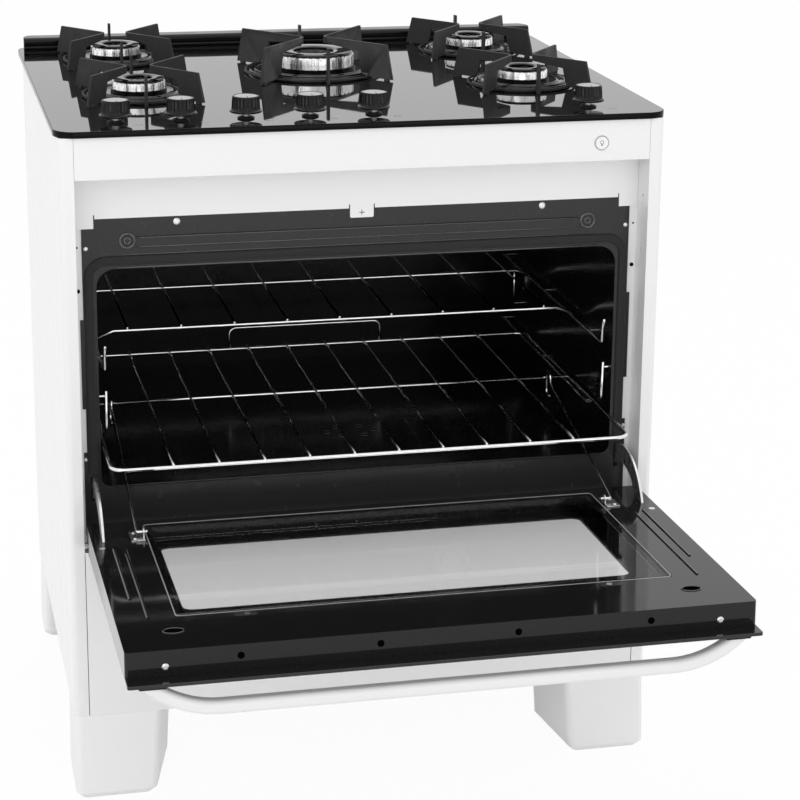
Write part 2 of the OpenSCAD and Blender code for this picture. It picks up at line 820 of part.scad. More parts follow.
module oven_front_frame() {
  step_z = control_bottom - 184;
  stay_low = arc_z(stay_r_in, recess + sheet) - 3;
  stay_high = arc_z(stay_r_out, recess) + 2;
  slot_x = arm_x - 1.5;
  color(enamel) place() {
    front_sheet(recess, sheet) difference() {
      union() {
        rect([-frame_side, step_z - 115], [frame_side, step_z]);
        rect([-frame_side, frame_low], [frame_side, lip_z + 46]);
        rect([-frame_side_top, frame_low], [frame_side_top, rail_bottom + 8]);
      }
      mouth();
      both_sides() rect([slot_x, stay_low], [slot_x + arm_t + 3, stay_high]);
    }
    // pressed band above the mouth with a round boss at each end
    front_sheet(recess - 1, 1.2) {
      rect([49 - oven_half, mouth_top + 26], [oven_half - 49, mouth_top + 40]);
      both_sides() translate([oven_half - 39, mouth_top + 35]) difference() {
        circle(11);
        circle(7);
      }
    }
    // rolled lip
    translate([-oven_half + 14, recess + sheet, lip_z - 1])
      rotate([0, 90, 0]) cylinder(h = oven_w - 28, r = 1.8, $fn = 24);
  }
}

module oven_liner() {
  front = recess + sheet;
  color("#1b1b1e") place() difference() {
    union() {
      both_sides() box([oven_half, front, oven_floor_z - wall], [oven_half + wall, oven_back_y, oven_roof_z]);
      box([-oven_half - wall, front, oven_roof_z],
          [oven_half + wall, oven_back_y + wall, oven_roof_z + wall]);
      box([-oven_half - wall, oven_back_y, oven_floor_z - wall],
          [oven_half + wall, oven_back_y + wall, oven_roof_z + 0.5]);
      both_sides() box([oven_half - 20, front, oven_floor_z - wall],
                       [oven_half + 1, oven_back_y + 1, oven_floor_z]);
    }
    translate([lamp_x, oven_back_y - 1, lamp_z]) rotate([-90, 0, 0]) cylinder(h = 4, r = 14);
  }
}

module oven_floor() {
  half = oven_half - seam;
  color("#1b1b1e") place() difference() {
    box([-half, recess + 4, oven_floor_z], [half, oven_back_y - seam, oven_floor_z + wall]);
    for (a = [0 : 5])
      translate([19 + 32 * cos(60 * a), 205 + 22 * sin(60 * a), oven_floor_z - 1])
        cylinder(h = 4, r = 5);
  }
}

module oven_burner() {
  z = oven_floor_z - oven_burner_drop;
  front = recess + 38;
  rear = oven_back_y - 56;
  color("#9a9da0") place() {
    difference() {
      translate([0, front, z]) rotate([-90, 0, 0]) cylinder(h = rear - front, r = 8);
      for (i = [0 : 11]) box([-3, front + 50 + i * 30, z + 6.5], [3, front + 52 + i * 30, z + 9]);
    }
    for (y = [front + 15, rear - 20]) box([-10, y, z + 4], [10, y + 2, oven_floor_z]);
  }
}

module door_seal() {
  outer_x = oven_half + 16;
  inner_x = oven_half + 4;
  top_out = mouth_top + 19;
  top_in = mouth_top + 2;
  end_z = arc_z(stay_r_out, recess - 4) + 4;
  r = 25;
  color("#4a4a4c") place() front_sheet(recess - 4, 4) difference() {
    union() {
      rect([-outer_x, end_z], [outer_x, top_out - r]);
      rect([-outer_x + r, end_z], [outer_x - r, top_out]);
      for (s = [-1, 1]) translate([s * (outer_x - r), top_out - r]) circle(r);
    }
    rect([-inner_x, end_z - 1], [inner_x, top_in - r]);
    rect([-inner_x + r, end_z - 1], [inner_x - r, top_in]);
    for (s = [-1, 1]) translate([s * (inner_x - r), top_in - r]) circle(r);
  }
}

module insulation() {
  half = oven_half + wall + 0.3;
  thick = 15;
  back = oven_back_y + wall + 0.3;
  roof = oven_roof_z + wall + 0.3;
  color("khaki") place() difference() {
    union() {
      box([-half - thick, 60, roof], [half + thick, back, roof + 22]);
      both_sides() box([half, 125, oven_floor_z], [half + thick, back, roof + 1]);
      box([-half - thick, back, oven_floor_z], [half + thick, body_d - 3, roof + 22]);
    }
    translate([lamp_x, back - 1, lamp_z]) rotate([-90, 0, 0]) cylinder(h = oven_rear_gap + 2, r = 16);
  }
}

module oven_lamp() {
  color("lemonchiffon") place() translate([lamp_x, oven_back_y, lamp_z]) {
    rotate([90, 0, 0]) cylinder(h = 5, r = 26);
    translate([0, -4, 0]) rotate([90, 0, 0]) cylinder(h = 12, r = 20);
    rotate([-90, 0, 0]) translate([0, 0, -1]) cylinder(h = oven_rear_gap - 4, r = 12);
  }
}

rack_x = oven_half - 9;
lower_rail_z = lower_shelf_z - frame_wire_r - rack_wire_r - 0.3;
shelf_end_z = upper_shelf_z - 10;
upper_rail_z = shelf_end_z - frame_wire_r - rack_wire_r - 0.3;

module rack_peg(y, z) {
  translate([rack_x, y, z]) rotate([0, 90, 0]) cylinder(h = oven_half - rack_x, r = 1.5, $fn = 16);
}

module side_racks() {
  post_y = oven_back_y - 74;
  color(chrome) place() both_sides() {
    wire([[rack_x, 50, lower_rail_z + 75], [rack_x, 54, lower_rail_z + 24],
          [rack_x, 105, lower_rail_z], [rack_x, oven_back_y - 12, lower_rail_z]], rack_wire_r);
    wire([[rack_x, 50, upper_rail_z + 35], [rack_x, 58, upper_rail_z + 19],
          [rack_x, 58, upper_rail_z], [rack_x, oven_back_y - 12, upper_rail_z]], rack_wire_r);
    rod([rack_x, post_y, upper_rail_z], [rack_x, post_y, upper_rail_z - 66], rack_wire_r - 0.2);
    for (y = [120, 330, oven_back_y - 16], z = [lower_rail_z, upper_rail_z]) rack_peg(y, z);
    rack_peg(50.5, lower_rail_z + 68);
    rack_peg(post_y, upper_rail_z - 60);
  }
}

// ---------- shelves ----------

upper_cross = [oven_back_y - 370, oven_back_y - 166, oven_back_y - 26];
upper_pitch = (rack_x - 42.4) / 4;
lower_pitch = (rack_x - 70.2) / 4.5;
lower_front = -52;
lower_rear = oven_back_y - 120;
lower_half = rack_x + frame_wire_r + rack_wire_r + free;

module upper_shelf() {
  end_x = rack_x + 2;
  bend_x = end_x - 26;
  color(chrome) place() {
    for (y = upper_cross)
      wire([[-end_x, y, shelf_end_z], [-bend_x, y, upper_shelf_z],
            [bend_x, y, upper_shelf_z], [end_x, y, shelf_end_z]], frame_wire_r);
    for (i = [-4 : 4])
      rod([i * upper_pitch, upper_cross[0] - 3, upper_shelf_z + frame_wire_r + thin_wire_r - 0.6],
          [i * upper_pitch, upper_cross[2] + 6, upper_shelf_z + frame_wire_r + thin_wire_r - 0.6],
          thin_wire_r);
  }
}

module lower_shelf() {
  z = lower_shelf_z;
  top = z + frame_wire_r + thin_wire_r - 0.6;
  color(chrome) place() {
    square_wire([[0, lower_rear, z], [-lower_half, lower_rear, z], [-lower_half, lower_front, z],
          [lower_half, lower_front, z], [lower_half, lower_rear, z], [0, lower_rear, z]],
                frame_wire_r, 18);
    rod([-lower_half, link_y, z], [lower_half, link_y, z], frame_wire_r - 0.2);
    for (i = [0 : 4], s = [-1, 1])
      rod([s * (i + 0.5) * lower_pitch, lower_front - 1, top],
          [s * (i + 0.5) * lower_pitch, lower_rear + 3, top], thin_wire_r);
    square_wire([[-110, lower_rear, z], [-110, lower_rear, z + 31], [110, lower_rear, z + 31],
          [110, lower_rear, z]], frame_wire_r - 0.4, 8);
  }
}

// Link: hooked through the door's bracket, with a long eye round the shelf's crossbar.
// The eye's play lets the link swing while the door pulls the shelf at a steady rate.
module link() {
  eye_top = [link_x, link_y + 3.8, lower_shelf_z - 1.5];
  eye_drop = 19;
  front_leg = eye_top[1] - eye_r;
  wire([[link_x - 12, hook_y, hook_z], [link_x, hook_y, hook_z],
        [link_x, front_leg, eye_top[2] - 5]], link_r, 0.5);
  translate([link_x - 13, hook_y, hook_z])
    rotate([0, 90, 0]) cylinder(h = 1.8, r = link_r + 0.9, $fn = 24);
  translate(eye_top) rotate([90, 0, 90]) {
    rotate_extrude(angle = 180) translate([eye_r, 0]) circle(link_r + 0.4, $fn = 24);
    translate([0, -eye_drop, 0]) rotate([0, 0, 180])
      rotate_extrude(angle = 180) translate([eye_r, 0]) circle(link_r + 0.4, $fn = 24);
    for (s = [-1, 1])
      translate([s * eye_r, 0, 0]) rotate([90, 0, 0])
        cylinder(h = eye_drop, r = link_r + 0.4, $fn = 24);
  }
}

module shelf_links() {
  color(chrome) place() both_sides() link();
}

// ---------- door ----------

// Screws sunk in the inner panel, clear of the seal: [x, -u, radius]
sunk_screws = [[door_half_w - 10.5, -103, 4], [door_half_w - 146.5, -pane_far - 8, 3.5]];

module door_plan(grow = 0) {
  round_rect([-door_half_w + grow, -tray_far + grow], [door_half_w - grow, -tray_near - grow], 4 - grow);
}

module door_inner_panel() {
  ledge = 10;
  stay_u0 = sqrt(stay_r_in * stay_r_in - door_face * door_face) - 2;
  stay_u1 = sqrt(stay_r_out * stay_r_out - pow(door_face - door_skin, 2)) + 2;
  slot_x = arm_x - 1;
  color(enamel) place() in_door() difference() {
    union() {
      translate([0, 0, door_face - door_skin]) linear_extrude(door_skin) door_plan();
      translate([0, 0, glass_back]) linear_extrude(door_face - glass_back) difference() {
        door_plan();
        door_plan(1.2);
      }
      // tray that holds the inner glass
      box([-pane_half - 1.5, -pane_far - 1.5, door_face - inner_glass_t - 1],
          [pane_half + 1.5, -pane_near + 1.5, door_face]);
      // pressed beads beside the glass
      both_sides() {
        rod([door_half_w - 24, -108, door_face - 1], [door_half_w - 24, -280, door_face - 1], 2.4);
        rod([door_half_w - 37, -112, door_face - 1], [door_half_w - 37, -342, door_face - 1], 2.4);
      }
    }
    box([-pane_half - 0.3, -pane_far - 0.3, door_face - inner_glass_t],
        [pane_half + 0.3, -pane_near + 0.3, door_face + 1]);
    box([-pane_half + ledge, -pane_far + ledge, 0], [pane_half - ledge, -pane_near - ledge, door_face]);
    both_sides() {
      box([slot_x, -stay_u1, door_face - 5], [slot_x + arm_t + 2, -stay_u0, door_face + 1]);
      box([slot_x, -tray_near - 3, -5], [slot_x + arm_t + 2, -tray_near + 5, door_face - 1.5]);
      translate([door_half_w - 59.5, -385, door_face - 2]) cylinder(h = 4, r = 5);
      for (p = sunk_screws) translate([p[0], p[1], door_face - 2]) cylinder(h = 4, r = p[2] + 0.1);
      for (x = [78, door_half_w - 125.5])
        translate([x, -tray_far - 3, door_face - 13]) rotate([-90, 0, 0]) cylinder(h = 6, r = 2.5);
    }
  }
}

module door_inner_glass() {
  color([0.5, 0.5, 0.52, 0.5]) place() in_door()
    translate([0, 0, door_face - inner_glass_t]) linear_extrude(inner_glass_t)
      round_rect([-pane_half, -pane_far], [pane_half, -pane_near], 6);
}

module door_outer_glass() {
  color([0.06, 0.06, 0.07]) place() in_door()
    translate([0, 0, glass_face]) linear_extrude(door_glass_t)
      round_rect([-door_half_w, -door_h], [door_half_w, -glass_u0], 3);
}

handle_u = door_h - 14;
handle_mid = glass_face - handle_gap - handle_h / 2;
handle_end = door_half_w - 22.5;
handle_straight = handle_end - 80;
spacer_h = 4;

module handle_section(a, b) {
  round_rect([-a / 2, -b / 2], [a / 2, b / 2], 6);
}

module door_handle() {
  rise = glass_face - handle_mid;
  reach = handle_end - handle_straight;
  turn = 2 * atan2(rise, reach);
  r = reach / sin(turn);
  color(white) place() in_door() difference() {
    union() {
      translate([0, -handle_u, handle_mid])
        side_sheet(-handle_straight, 2 * handle_straight) handle_section(handle_d, handle_h);
      both_sides() translate([handle_straight, -handle_u, handle_mid + r])
        rotate([90, 0, 0]) rotate([0, 0, -90])
          rotate_extrude(angle = turn + 6, $fn = 96) translate([r, 0]) handle_section(handle_h, handle_d);
    }
    box([-door_half_w, -door_h, glass_face - spacer_h], [door_half_w, -door_h + 60, 30]);
  }
}

module handle_spacers() {
  color("#222224") place() in_door() both_sides()
    translate([0, -handle_u + handle_d / 2, 0]) front_sheet(-handle_d, handle_d)
      polygon([[handle_end - 23, glass_face], [handle_end - 19, glass_face - spacer_h],
               [handle_end + 9, glass_face - spacer_h], [handle_end + 12, glass_face]]);
}

module shelf_hooks() {
  x0 = link_x - 9;
  color(chrome) place() in_door() both_sides() difference() {
    union() {
      box([x0, -87, door_face], [x0 + 17, -52, door_face + 1.5]);
      box([x0, -hook_u - 5, door_face], [x0 + 1.5, -hook_u + 5, hook_h]);
      translate([x0, -hook_u, hook_h]) rotate([0, 90, 0]) cylinder(h = 1.5, r = 5);
    }
    translate([x0 - 1, -hook_u, hook_h]) rotate([0, 90, 0]) cylinder(h = 4, r = link_r + run);
  }
}

module hinge_arms() {
  stay_start = 14;
  stay_end = 123;
  color(chrome) place() in_door() both_sides() side_sheet(arm_x, arm_t) difference() {
    union() {
      circle(ear_r);
      rect([-22, glass_back + 1], [2, 12]);
      rect([-130, glass_back + 1], [-12, door_face - door_skin]);
      intersection() {
        difference() {
          circle(stay_r_out, $fn = 96);
          circle(stay_r_in, $fn = 96);
        }
        polygon([[0, 0], 120 * [-cos(stay_start), sin(stay_start)], [-120, 120], [0, 120],
                 120 * [-cos(stay_end), sin(stay_end)]]);
      }
    }
    circle(hinge_pin_r + run);
  }
}

module hinge_pins() {
  color(chrome) place() both_sides() translate([0, hinge_y, hinge_z]) rotate([0, 90, 0]) {
    translate([0, 0, arm_x - 2]) cylinder(h = post_x + sheet + 2 - arm_x + 1.8, r = hinge_pin_r);
    translate([0, 0, arm_x - 2]) cylinder(h = 2 - seam, r = hinge_pin_r + 1.2);
    translate([0, 0, arm_x + arm_t + seam])
      cylinder(h = post_x - arm_x - arm_t - seam, r = hinge_pin_r + 1.2);
    translate([0, 0, post_x + sheet]) cylinder(h = 2, r = hinge_pin_r + 2);
  }
}

module screw_head(r, h) {
  difference() {
    rotate_extrude($fn = 32) polygon([[0, 0], [r, 0], [r, h * 0.4], [r * 0.6, h], [0, h]]);
    for (a = [0, 90]) rotate([0, 0, a]) box([-r * 0.5, -0.4, h * 0.4], [r * 0.5, 0.4, h + 1]);
  }
}

module door_screws() {
  color(chrome) place() in_door() {
    both_sides() {
      translate([door_half_w - 43.5, -tray_far, door_face - 19]) rotate([90, 0, 0]) screw_head(4, 1.8);
      for (p = sunk_screws) translate([p[0], p[1], door_face - door_skin]) screw_head(p[2], door_skin + 0.2);
      for (u = [59, 80]) translate([link_x + 3, -u, door_face + 1.5]) screw_head(2.5, 1.2);
    }
  }
}

module body_screws() {
  color(chrome) place() both_sides() {
    translate([233, recess, mouth_top + 57]) rotate([90, 0, 0]) screw_head(4.2, 1.8);
    translate([frame_side - 2.5, recess, lip_z + 37]) rotate([90, 0, 0]) screw_head(2.4, 1.8);
    translate([frame_side_top - 5, recess, control_bottom - 94]) rotate([90, 0, 0]) screw_head(2.6, 1.2);
  }
}

// ---------- selection ----------

side_panel_left();
side_panel_right();
rear_panel();
flue_duct();
base_frame();
kick_panel();
front_rail();
control_panel();
feet();
cooktop_glass();
rear_trim();
burner_tray();
oven_front_frame();
oven_liner();
oven_floor();
oven_burner();
door_seal();
side_racks();
spill_rings();
burner_bodies();
burner_crowns();
gas_valves();
gas_manifold();
burner_tubes();
spark_electrodes();
body_screws();
oven_lamp();
insulation();
ignition_module();
spindle_grommets();
upper_shelf();
lower_shelf();
shelf_links();
door_inner_panel();
door_inner_glass();
door_outer_glass();
door_handle();
handle_spacers();
shelf_hooks();
hinge_arms();
hinge_pins();
door_screws();
light_button();
knob_1();
knob_2();
knob_3();
knob_4();
knob_5();
knob_6();
spindle_1();
spindle_2();
spindle_3();
spindle_4();
spindle_5();
spindle_6();
grate_1();
grate_2();
grate_3();
grate_4();
grate_5();
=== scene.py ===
"""Looks of the gas range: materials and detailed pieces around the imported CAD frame."""
import json
import math

import bmesh
import bpy
from mathutils import Matrix, Vector

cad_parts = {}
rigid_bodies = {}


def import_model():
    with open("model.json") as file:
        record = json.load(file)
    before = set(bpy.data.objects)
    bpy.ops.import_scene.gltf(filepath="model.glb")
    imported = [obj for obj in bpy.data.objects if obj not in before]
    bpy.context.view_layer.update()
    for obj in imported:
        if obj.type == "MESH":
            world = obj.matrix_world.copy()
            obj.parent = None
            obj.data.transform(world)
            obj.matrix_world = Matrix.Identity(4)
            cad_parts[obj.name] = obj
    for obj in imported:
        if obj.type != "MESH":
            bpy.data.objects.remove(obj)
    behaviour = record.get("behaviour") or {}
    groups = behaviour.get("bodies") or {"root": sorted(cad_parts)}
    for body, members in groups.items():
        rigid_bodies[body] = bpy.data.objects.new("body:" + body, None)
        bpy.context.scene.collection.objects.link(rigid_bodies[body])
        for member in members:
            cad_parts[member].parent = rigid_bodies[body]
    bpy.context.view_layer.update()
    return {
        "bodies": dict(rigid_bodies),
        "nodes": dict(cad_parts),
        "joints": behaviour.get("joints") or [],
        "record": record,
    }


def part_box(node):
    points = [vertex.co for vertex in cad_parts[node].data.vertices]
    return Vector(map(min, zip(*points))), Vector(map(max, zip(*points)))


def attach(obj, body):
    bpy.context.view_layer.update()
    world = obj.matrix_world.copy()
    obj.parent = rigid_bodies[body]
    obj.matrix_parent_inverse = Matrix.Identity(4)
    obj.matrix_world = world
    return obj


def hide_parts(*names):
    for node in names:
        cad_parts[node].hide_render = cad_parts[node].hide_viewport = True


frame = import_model()
NODES = frame["nodes"]

MM = 0.001
GLASS_FRONT = 4.0                       # glass top's front edge before the posts
Y_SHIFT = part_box("cooktop_glass")[0].y / MM + GLASS_FRONT


def at(x, y, z):
    """A point of the cabinet, in millimetres from the front of the posts, in the row frame."""
    return Vector((x * MM, (y + Y_SHIFT) * MM, z * MM))


# ---------------------------------------------------------------- materials

class Look:
    """A node material under construction."""

    def __init__(self, name, color, rough=0.5, metal=0.0, **sockets):
        self.mat = bpy.data.materials.new(name)
        self.mat.use_nodes = True
        self.tree = self.mat.node_tree
        self.shader = self.tree.nodes["Principled BSDF"]
        self.mat.diffuse_color = (*color, 1)
        self.put("Base Color", (*color, 1))
        self.put("Roughness", rough)
        self.put("Metallic", metal)
        for key, value in sockets.items():
            self.put(key.replace("_", " "), value)
        self.color = color
        self.height = None

    def put(self, socket, value):
        self.shader.inputs[socket].default_value = value

    def node(self, kind, **values):
        made = self.tree.nodes.new(kind)
        for key, value in values.items():
            if key in made.inputs:
                made.inputs[key].default_value = value
            else:
                setattr(made, key, value)
        return made

    def link(self, out, into):
        self.tree.links.new(out, into)

    def coords(self, stretch=(1, 1, 1)):
        source = self.node("ShaderNodeTexCoord")
        scale = self.node("ShaderNodeMapping")
        scale.inputs["Scale"].default_value = stretch
        self.link(source.outputs["Object"], scale.inputs["Vector"])
        return scale.outputs["Vector"]

    def noise(self, scale, detail=3, rough=0.55, stretch=(1, 1, 1)):
        made = self.node("ShaderNodeTexNoise")
        made.inputs["Scale"].default_value = scale
        made.inputs["Detail"].default_value = detail
        made.inputs["Roughness"].default_value = rough
        self.link(self.coords(stretch), made.inputs["Vector"])
        return made.outputs["Fac"]

    def ranged(self, value, low, high, out_low, out_high):
        made = self.node("ShaderNodeMapRange")
        for key, number in zip(("From Min", "From Max", "To Min", "To Max"),
                               (low, high, out_low, out_high)):
            made.inputs[key].default_value = number
        self.link(value, made.inputs["Value"])
        return made.outputs["Result"]

    def tint(self, value, dark, light):
        """Colour between dark and light times the base colour, driven by value from 0.3 to 0.7."""
        mix = self.node("ShaderNodeMix", data_type="RGBA")
        ends = {"A": dark, "B": light}
        for socket in mix.inputs:
            if socket.name in ends and socket.type == "RGBA":
                socket.default_value = (*[min(1, c * ends[socket.name]) for c in self.color], 1)
        self.link(self.ranged(value, 0.3, 0.7, 0, 1), mix.inputs["Factor"])
        result = next(s for s in mix.outputs if s.type == "RGBA")
        self.link(result, self.shader.inputs["Base Color"])
        return self

    def rub(self, value, low, high):
        """Roughness between low and high, driven by value."""
        self.link(self.ranged(value, 0.3, 0.7, low, high), self.shader.inputs["Roughness"])
        return self

    def bump(self, value, depth):
        """Adds a bump of that depth in metres."""
        made = self.node("ShaderNodeBump")
        made.inputs["Strength"].default_value = 1
        made.inputs["Distance"].default_value = depth
        self.link(value, made.inputs["Height"])
        if self.height is not None:
            self.link(self.height, made.inputs["Normal"])
        self.height = made.outputs["Normal"]
        self.link(self.height, self.shader.inputs["Normal"])
        return self


def grey(v):
    return (v, v, v)


def spot(radius, degrees):
    """Offset of a point at that radius and angle."""
    turn = math.radians(degrees)
    return radius * math.cos(turn), radius * math.sin(turn)


def white_coat(name, level, rough, peel):
    """White finish with a peel of that depth in metres."""
    look = Look(name, grey(level), rough, Specular_IOR_Level=0.4)
    look.tint(look.noise(4, 2), 0.994, 1.004).rub(look.noise(30, 3), rough * 0.9, rough * 1.1)
    look.bump(look.noise(260, 2), peel)
    return look.mat


def dark_coat(name, level, rough, peel, bright, **sockets):
    """Dark finish with fine grain, up to bright times its colour."""
    look = Look(name, grey(level), rough, **sockets)
    look.tint(look.noise(300, 4), 0.9, bright).rub(look.noise(35, 4), rough * 0.8, rough * 1.3)
    look.bump(look.noise(380, 3), peel)
    return look.mat


def metal(name, color, rough, grain, stretch, scratch=0.00002):
    """Metal with a grain, drawn out by stretch."""
    look = Look(name, color, rough, 1.0)
    lines = look.noise(grain, 4, 0.6, stretch)
    look.tint(lines, 0.94, 1.05).rub(lines, rough * 0.75, rough * 1.35)
    look.bump(lines, scratch)
    return look.mat


M = {}
M["white_enamel"] = white_coat("white_enamel", 0.87, 0.24, 0.000003)
M["white_paint"] = white_coat("white_paint", 0.86, 0.34, 0.000004)
M["white_plastic"] = white_coat("white_plastic", 0.9, 0.4, 0.000003)


def black_glass(name, level, rough, ior, shine=0.5):
    look = Look(name, grey(level), rough, IOR=ior, Specular_IOR_Level=shine)
    look.tint(look.noise(5, 3), 0.9, 1.1).rub(look.noise(14, 3), rough * 0.8, rough * 1.2)
    return look.mat


M["black_glass"] = black_glass("black_glass", 0.008, 0.03, 2.1)
M["door_glass_black"] = black_glass("door_glass_black", 0.008, 0.03, 1.5)
M["glass_edge"] = black_glass("glass_edge", 0.003, 0.12, 1.4, 0.12)


def clear_glass(name, tint_level, rough, ior):
    look = Look(name, grey(tint_level), rough, Transmission_Weight=1.0, IOR=ior)
    look.rub(look.noise(6, 3), rough * 0.7, rough * 1.4)
    return look.mat


M["clear_glass"] = clear_glass("clear_glass", 0.995, 0.004, 1.16)
M["tinted_glass"] = clear_glass("tinted_glass", 0.99, 0.006, 1.08)
M["black_enamel"] = dark_coat("black_enamel", 0.008, 0.07, 0.000003, 1.4, Specular_IOR_Level=0.31)
M["ring_enamel"] = dark_coat("ring_enamel", 0.003, 0.08, 0.000004, 1.4, Specular_IOR_Level=0.24)
M["oven_enamel"] = dark_coat("oven_enamel", 0.003, 0.16, 0.000006, 1.5, Specular_IOR_Level=0.22)
M["front_enamel"] = dark_coat("front_enamel", 0.022, 0.22, 0.000004, 1.2, Specular_IOR_Level=0.3)
M["pressed_enamel"] = dark_coat("pressed_enamel", 0.03, 0.16, 0.000002, 1.2, Specular_IOR_Level=0.9)
# Near-black with no reflection: painted shade, put inside holes and seam gaps.
M["painted_shade_black"] = dark_coat("painted_shade_black", 0.0012, 0.9, 0.00001, 1.3, Specular_IOR_Level=0.0)
# A darker copy of the white paint for the handle: painted shade.
M["handle_shaded_white"] = white_coat("handle_shaded_white", 0.79, 0.3, 0.000003)
# Light grey for the inner pane's edge line: a painted highlight of the glass edge.
M["pane_edge_highlight"] = dark_coat("pane_edge_highlight", 0.34, 0.2, 0.000002, 1.2, Specular_IOR_Level=0.8)
M["grate_enamel"] = dark_coat("grate_enamel", 0.026, 0.55, 0.00004, 1.35, Specular_IOR_Level=0.3)
M["black_paint"] = dark_coat("black_paint", 0.004, 0.2, 0.000006, 1.3, Specular_IOR_Level=0.25)
M["black_rubber"] = dark_coat("black_rubber", 0.006, 0.4, 0.00002, 1.3, Specular_IOR_Level=0.3)
M["black_plastic"] = dark_coat("black_plastic", 0.003, 0.12, 0.000004, 1.3, Specular_IOR_Level=0.25)
M["plain_steel"] = metal("plain_steel", grey(0.5), 0.34, 90, (1, 1, 12))
M["bright_zinc"] = metal("bright_zinc", grey(0.78), 0.3, 120, (1, 1, 1), 0.000006)
M["chrome_wire"] = metal("chrome_wire", grey(0.84), 0.1, 200, (1, 1, 1), 0.000003)
M["bare_aluminium"] = metal("bare_aluminium", grey(0.95), 0.2, 60, (1, 1, 1), 0.000004)
M["silver_cap"] = metal("silver_cap", grey(0.46), 0.34, 300, (1, 1, 1), 0.000003)
M["brass"] = metal("brass", (0.62, 0.46, 0.18), 0.35, 150, (1, 1, 1))
M["tube_steel"] = metal("tube_steel", grey(0.58), 0.28, 120, (1, 1, 1))


def seal_look():
    """Braided cord."""
    look = Look("grey_seal", grey(0.014), 0.8, Sheen_Weight=0.08, Sheen_Roughness=0.5)
    waves = look.node("ShaderNodeTexWave", wave_type="BANDS", bands_direction="DIAGONAL")
    waves.inputs["Scale"].default_value = 160
    waves.inputs["Distortion"].default_value = 1.5
    look.link(look.coords(), waves.inputs["Vector"])
    look.tint(waves.outputs["Fac"], 0.7, 1.25)
    look.bump(waves.outputs["Fac"], 0.0003)
    look.bump(look.noise(900, 3), 0.0001)
    return look.mat


def wool_look():
    look = Look("insulation_wool", (0.62, 0.5, 0.22), 0.95, Sheen_Weight=0.4)
    fibre = look.noise(120, 6, 0.7, (1, 1, 4))
    look.tint(fibre, 0.65, 1.2).bump(fibre, 0.003)
    return look.mat


def lamp_look():
    look = Look("lamp_glass", (0.75, 0.72, 0.62), 0.35, Transmission_Weight=0.4, IOR=1.5)
    ribs = look.noise(40, 3, 0.5, (8, 1, 1))
    look.tint(ribs, 0.9, 1.1).bump(ribs, 0.0002)
    return look.mat


def print_look(name, level):
    look = Look(name, grey(level), 0.5)
    look.tint(look.noise(500, 3), 0.85, 1.15)
    return look.mat


M["grey_seal"] = seal_look()
M["insulation_wool"] = wool_look()
M["lamp_glass"] = lamp_look()
M["print_grey"] = print_look("print_grey", 0.12)
M["sign_print"] = print_look("sign_print", 0.6)
M["ceramic"] = white_coat("ceramic", 0.72, 0.3, 0.00002)


def cover(obj, look):
    """Gives obj that one material."""
    obj.data.materials.clear()
    obj.data.materials.append(M[look])


def smooth(mesh, degrees=35):
    for face in mesh.polygons:
        face.use_smooth = True
    mesh.set_sharp_from_angle(angle=math.radians(degrees))


def soften(obj, width, segments=2):
    """Rounds the edges of a piece."""
    weld = obj.modifiers.new("weld", "WELD")
    weld.merge_threshold = 0.00001
    made = obj.modifiers.new("edges", "BEVEL")
    made.width = width
    made.segments = segments
    made.limit_method = "ANGLE"
    made.angle_limit = math.radians(40)
    steady(obj)


def steady(obj):
    """Keeps large flat faces flat to the eye and lets the small edge faces turn between them."""
    made = obj.modifiers.new("normals", "WEIGHTED_NORMAL")
    made.mode = "FACE_AREA"
    made.weight = 100
    made.keep_sharp = True


def dress(node, look, edge=0.0):
    """Keeps a CAD node's shape and gives it its finish and softened edges."""
    obj = NODES[node]
    cover(obj, look)
    smooth(obj.data)
    if edge:
        soften(obj, edge)



# ---------------------------------------------------------------- mesh helpers


def piece(name, verts, faces, look, body, stands_for=(), sharp=35):
    """A new piece from points in metres in the row frame."""
    mesh = bpy.data.meshes.new(name)
    mesh.from_pydata([tuple(v) for v in verts], [], faces)
    mesh.validate()
    work = bmesh.new()
    work.from_mesh(mesh)
    bmesh.ops.recalc_face_normals(work, faces=work.faces)
    work.to_mesh(mesh)
    work.free()
    return own(bpy.data.objects.new(name, mesh), look, body, stands_for, sharp)


def own(obj, look, body, stands_for=(), sharp=35):
    """Takes obj into the scene as a piece that moves with a body and may stand for CAD nodes."""
    bpy.context.scene.collection.objects.link(obj)
    cover(obj, look)
    smooth(obj.data, sharp)
    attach(obj, body)
    if stands_for:
        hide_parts(*stands_for)
    return obj


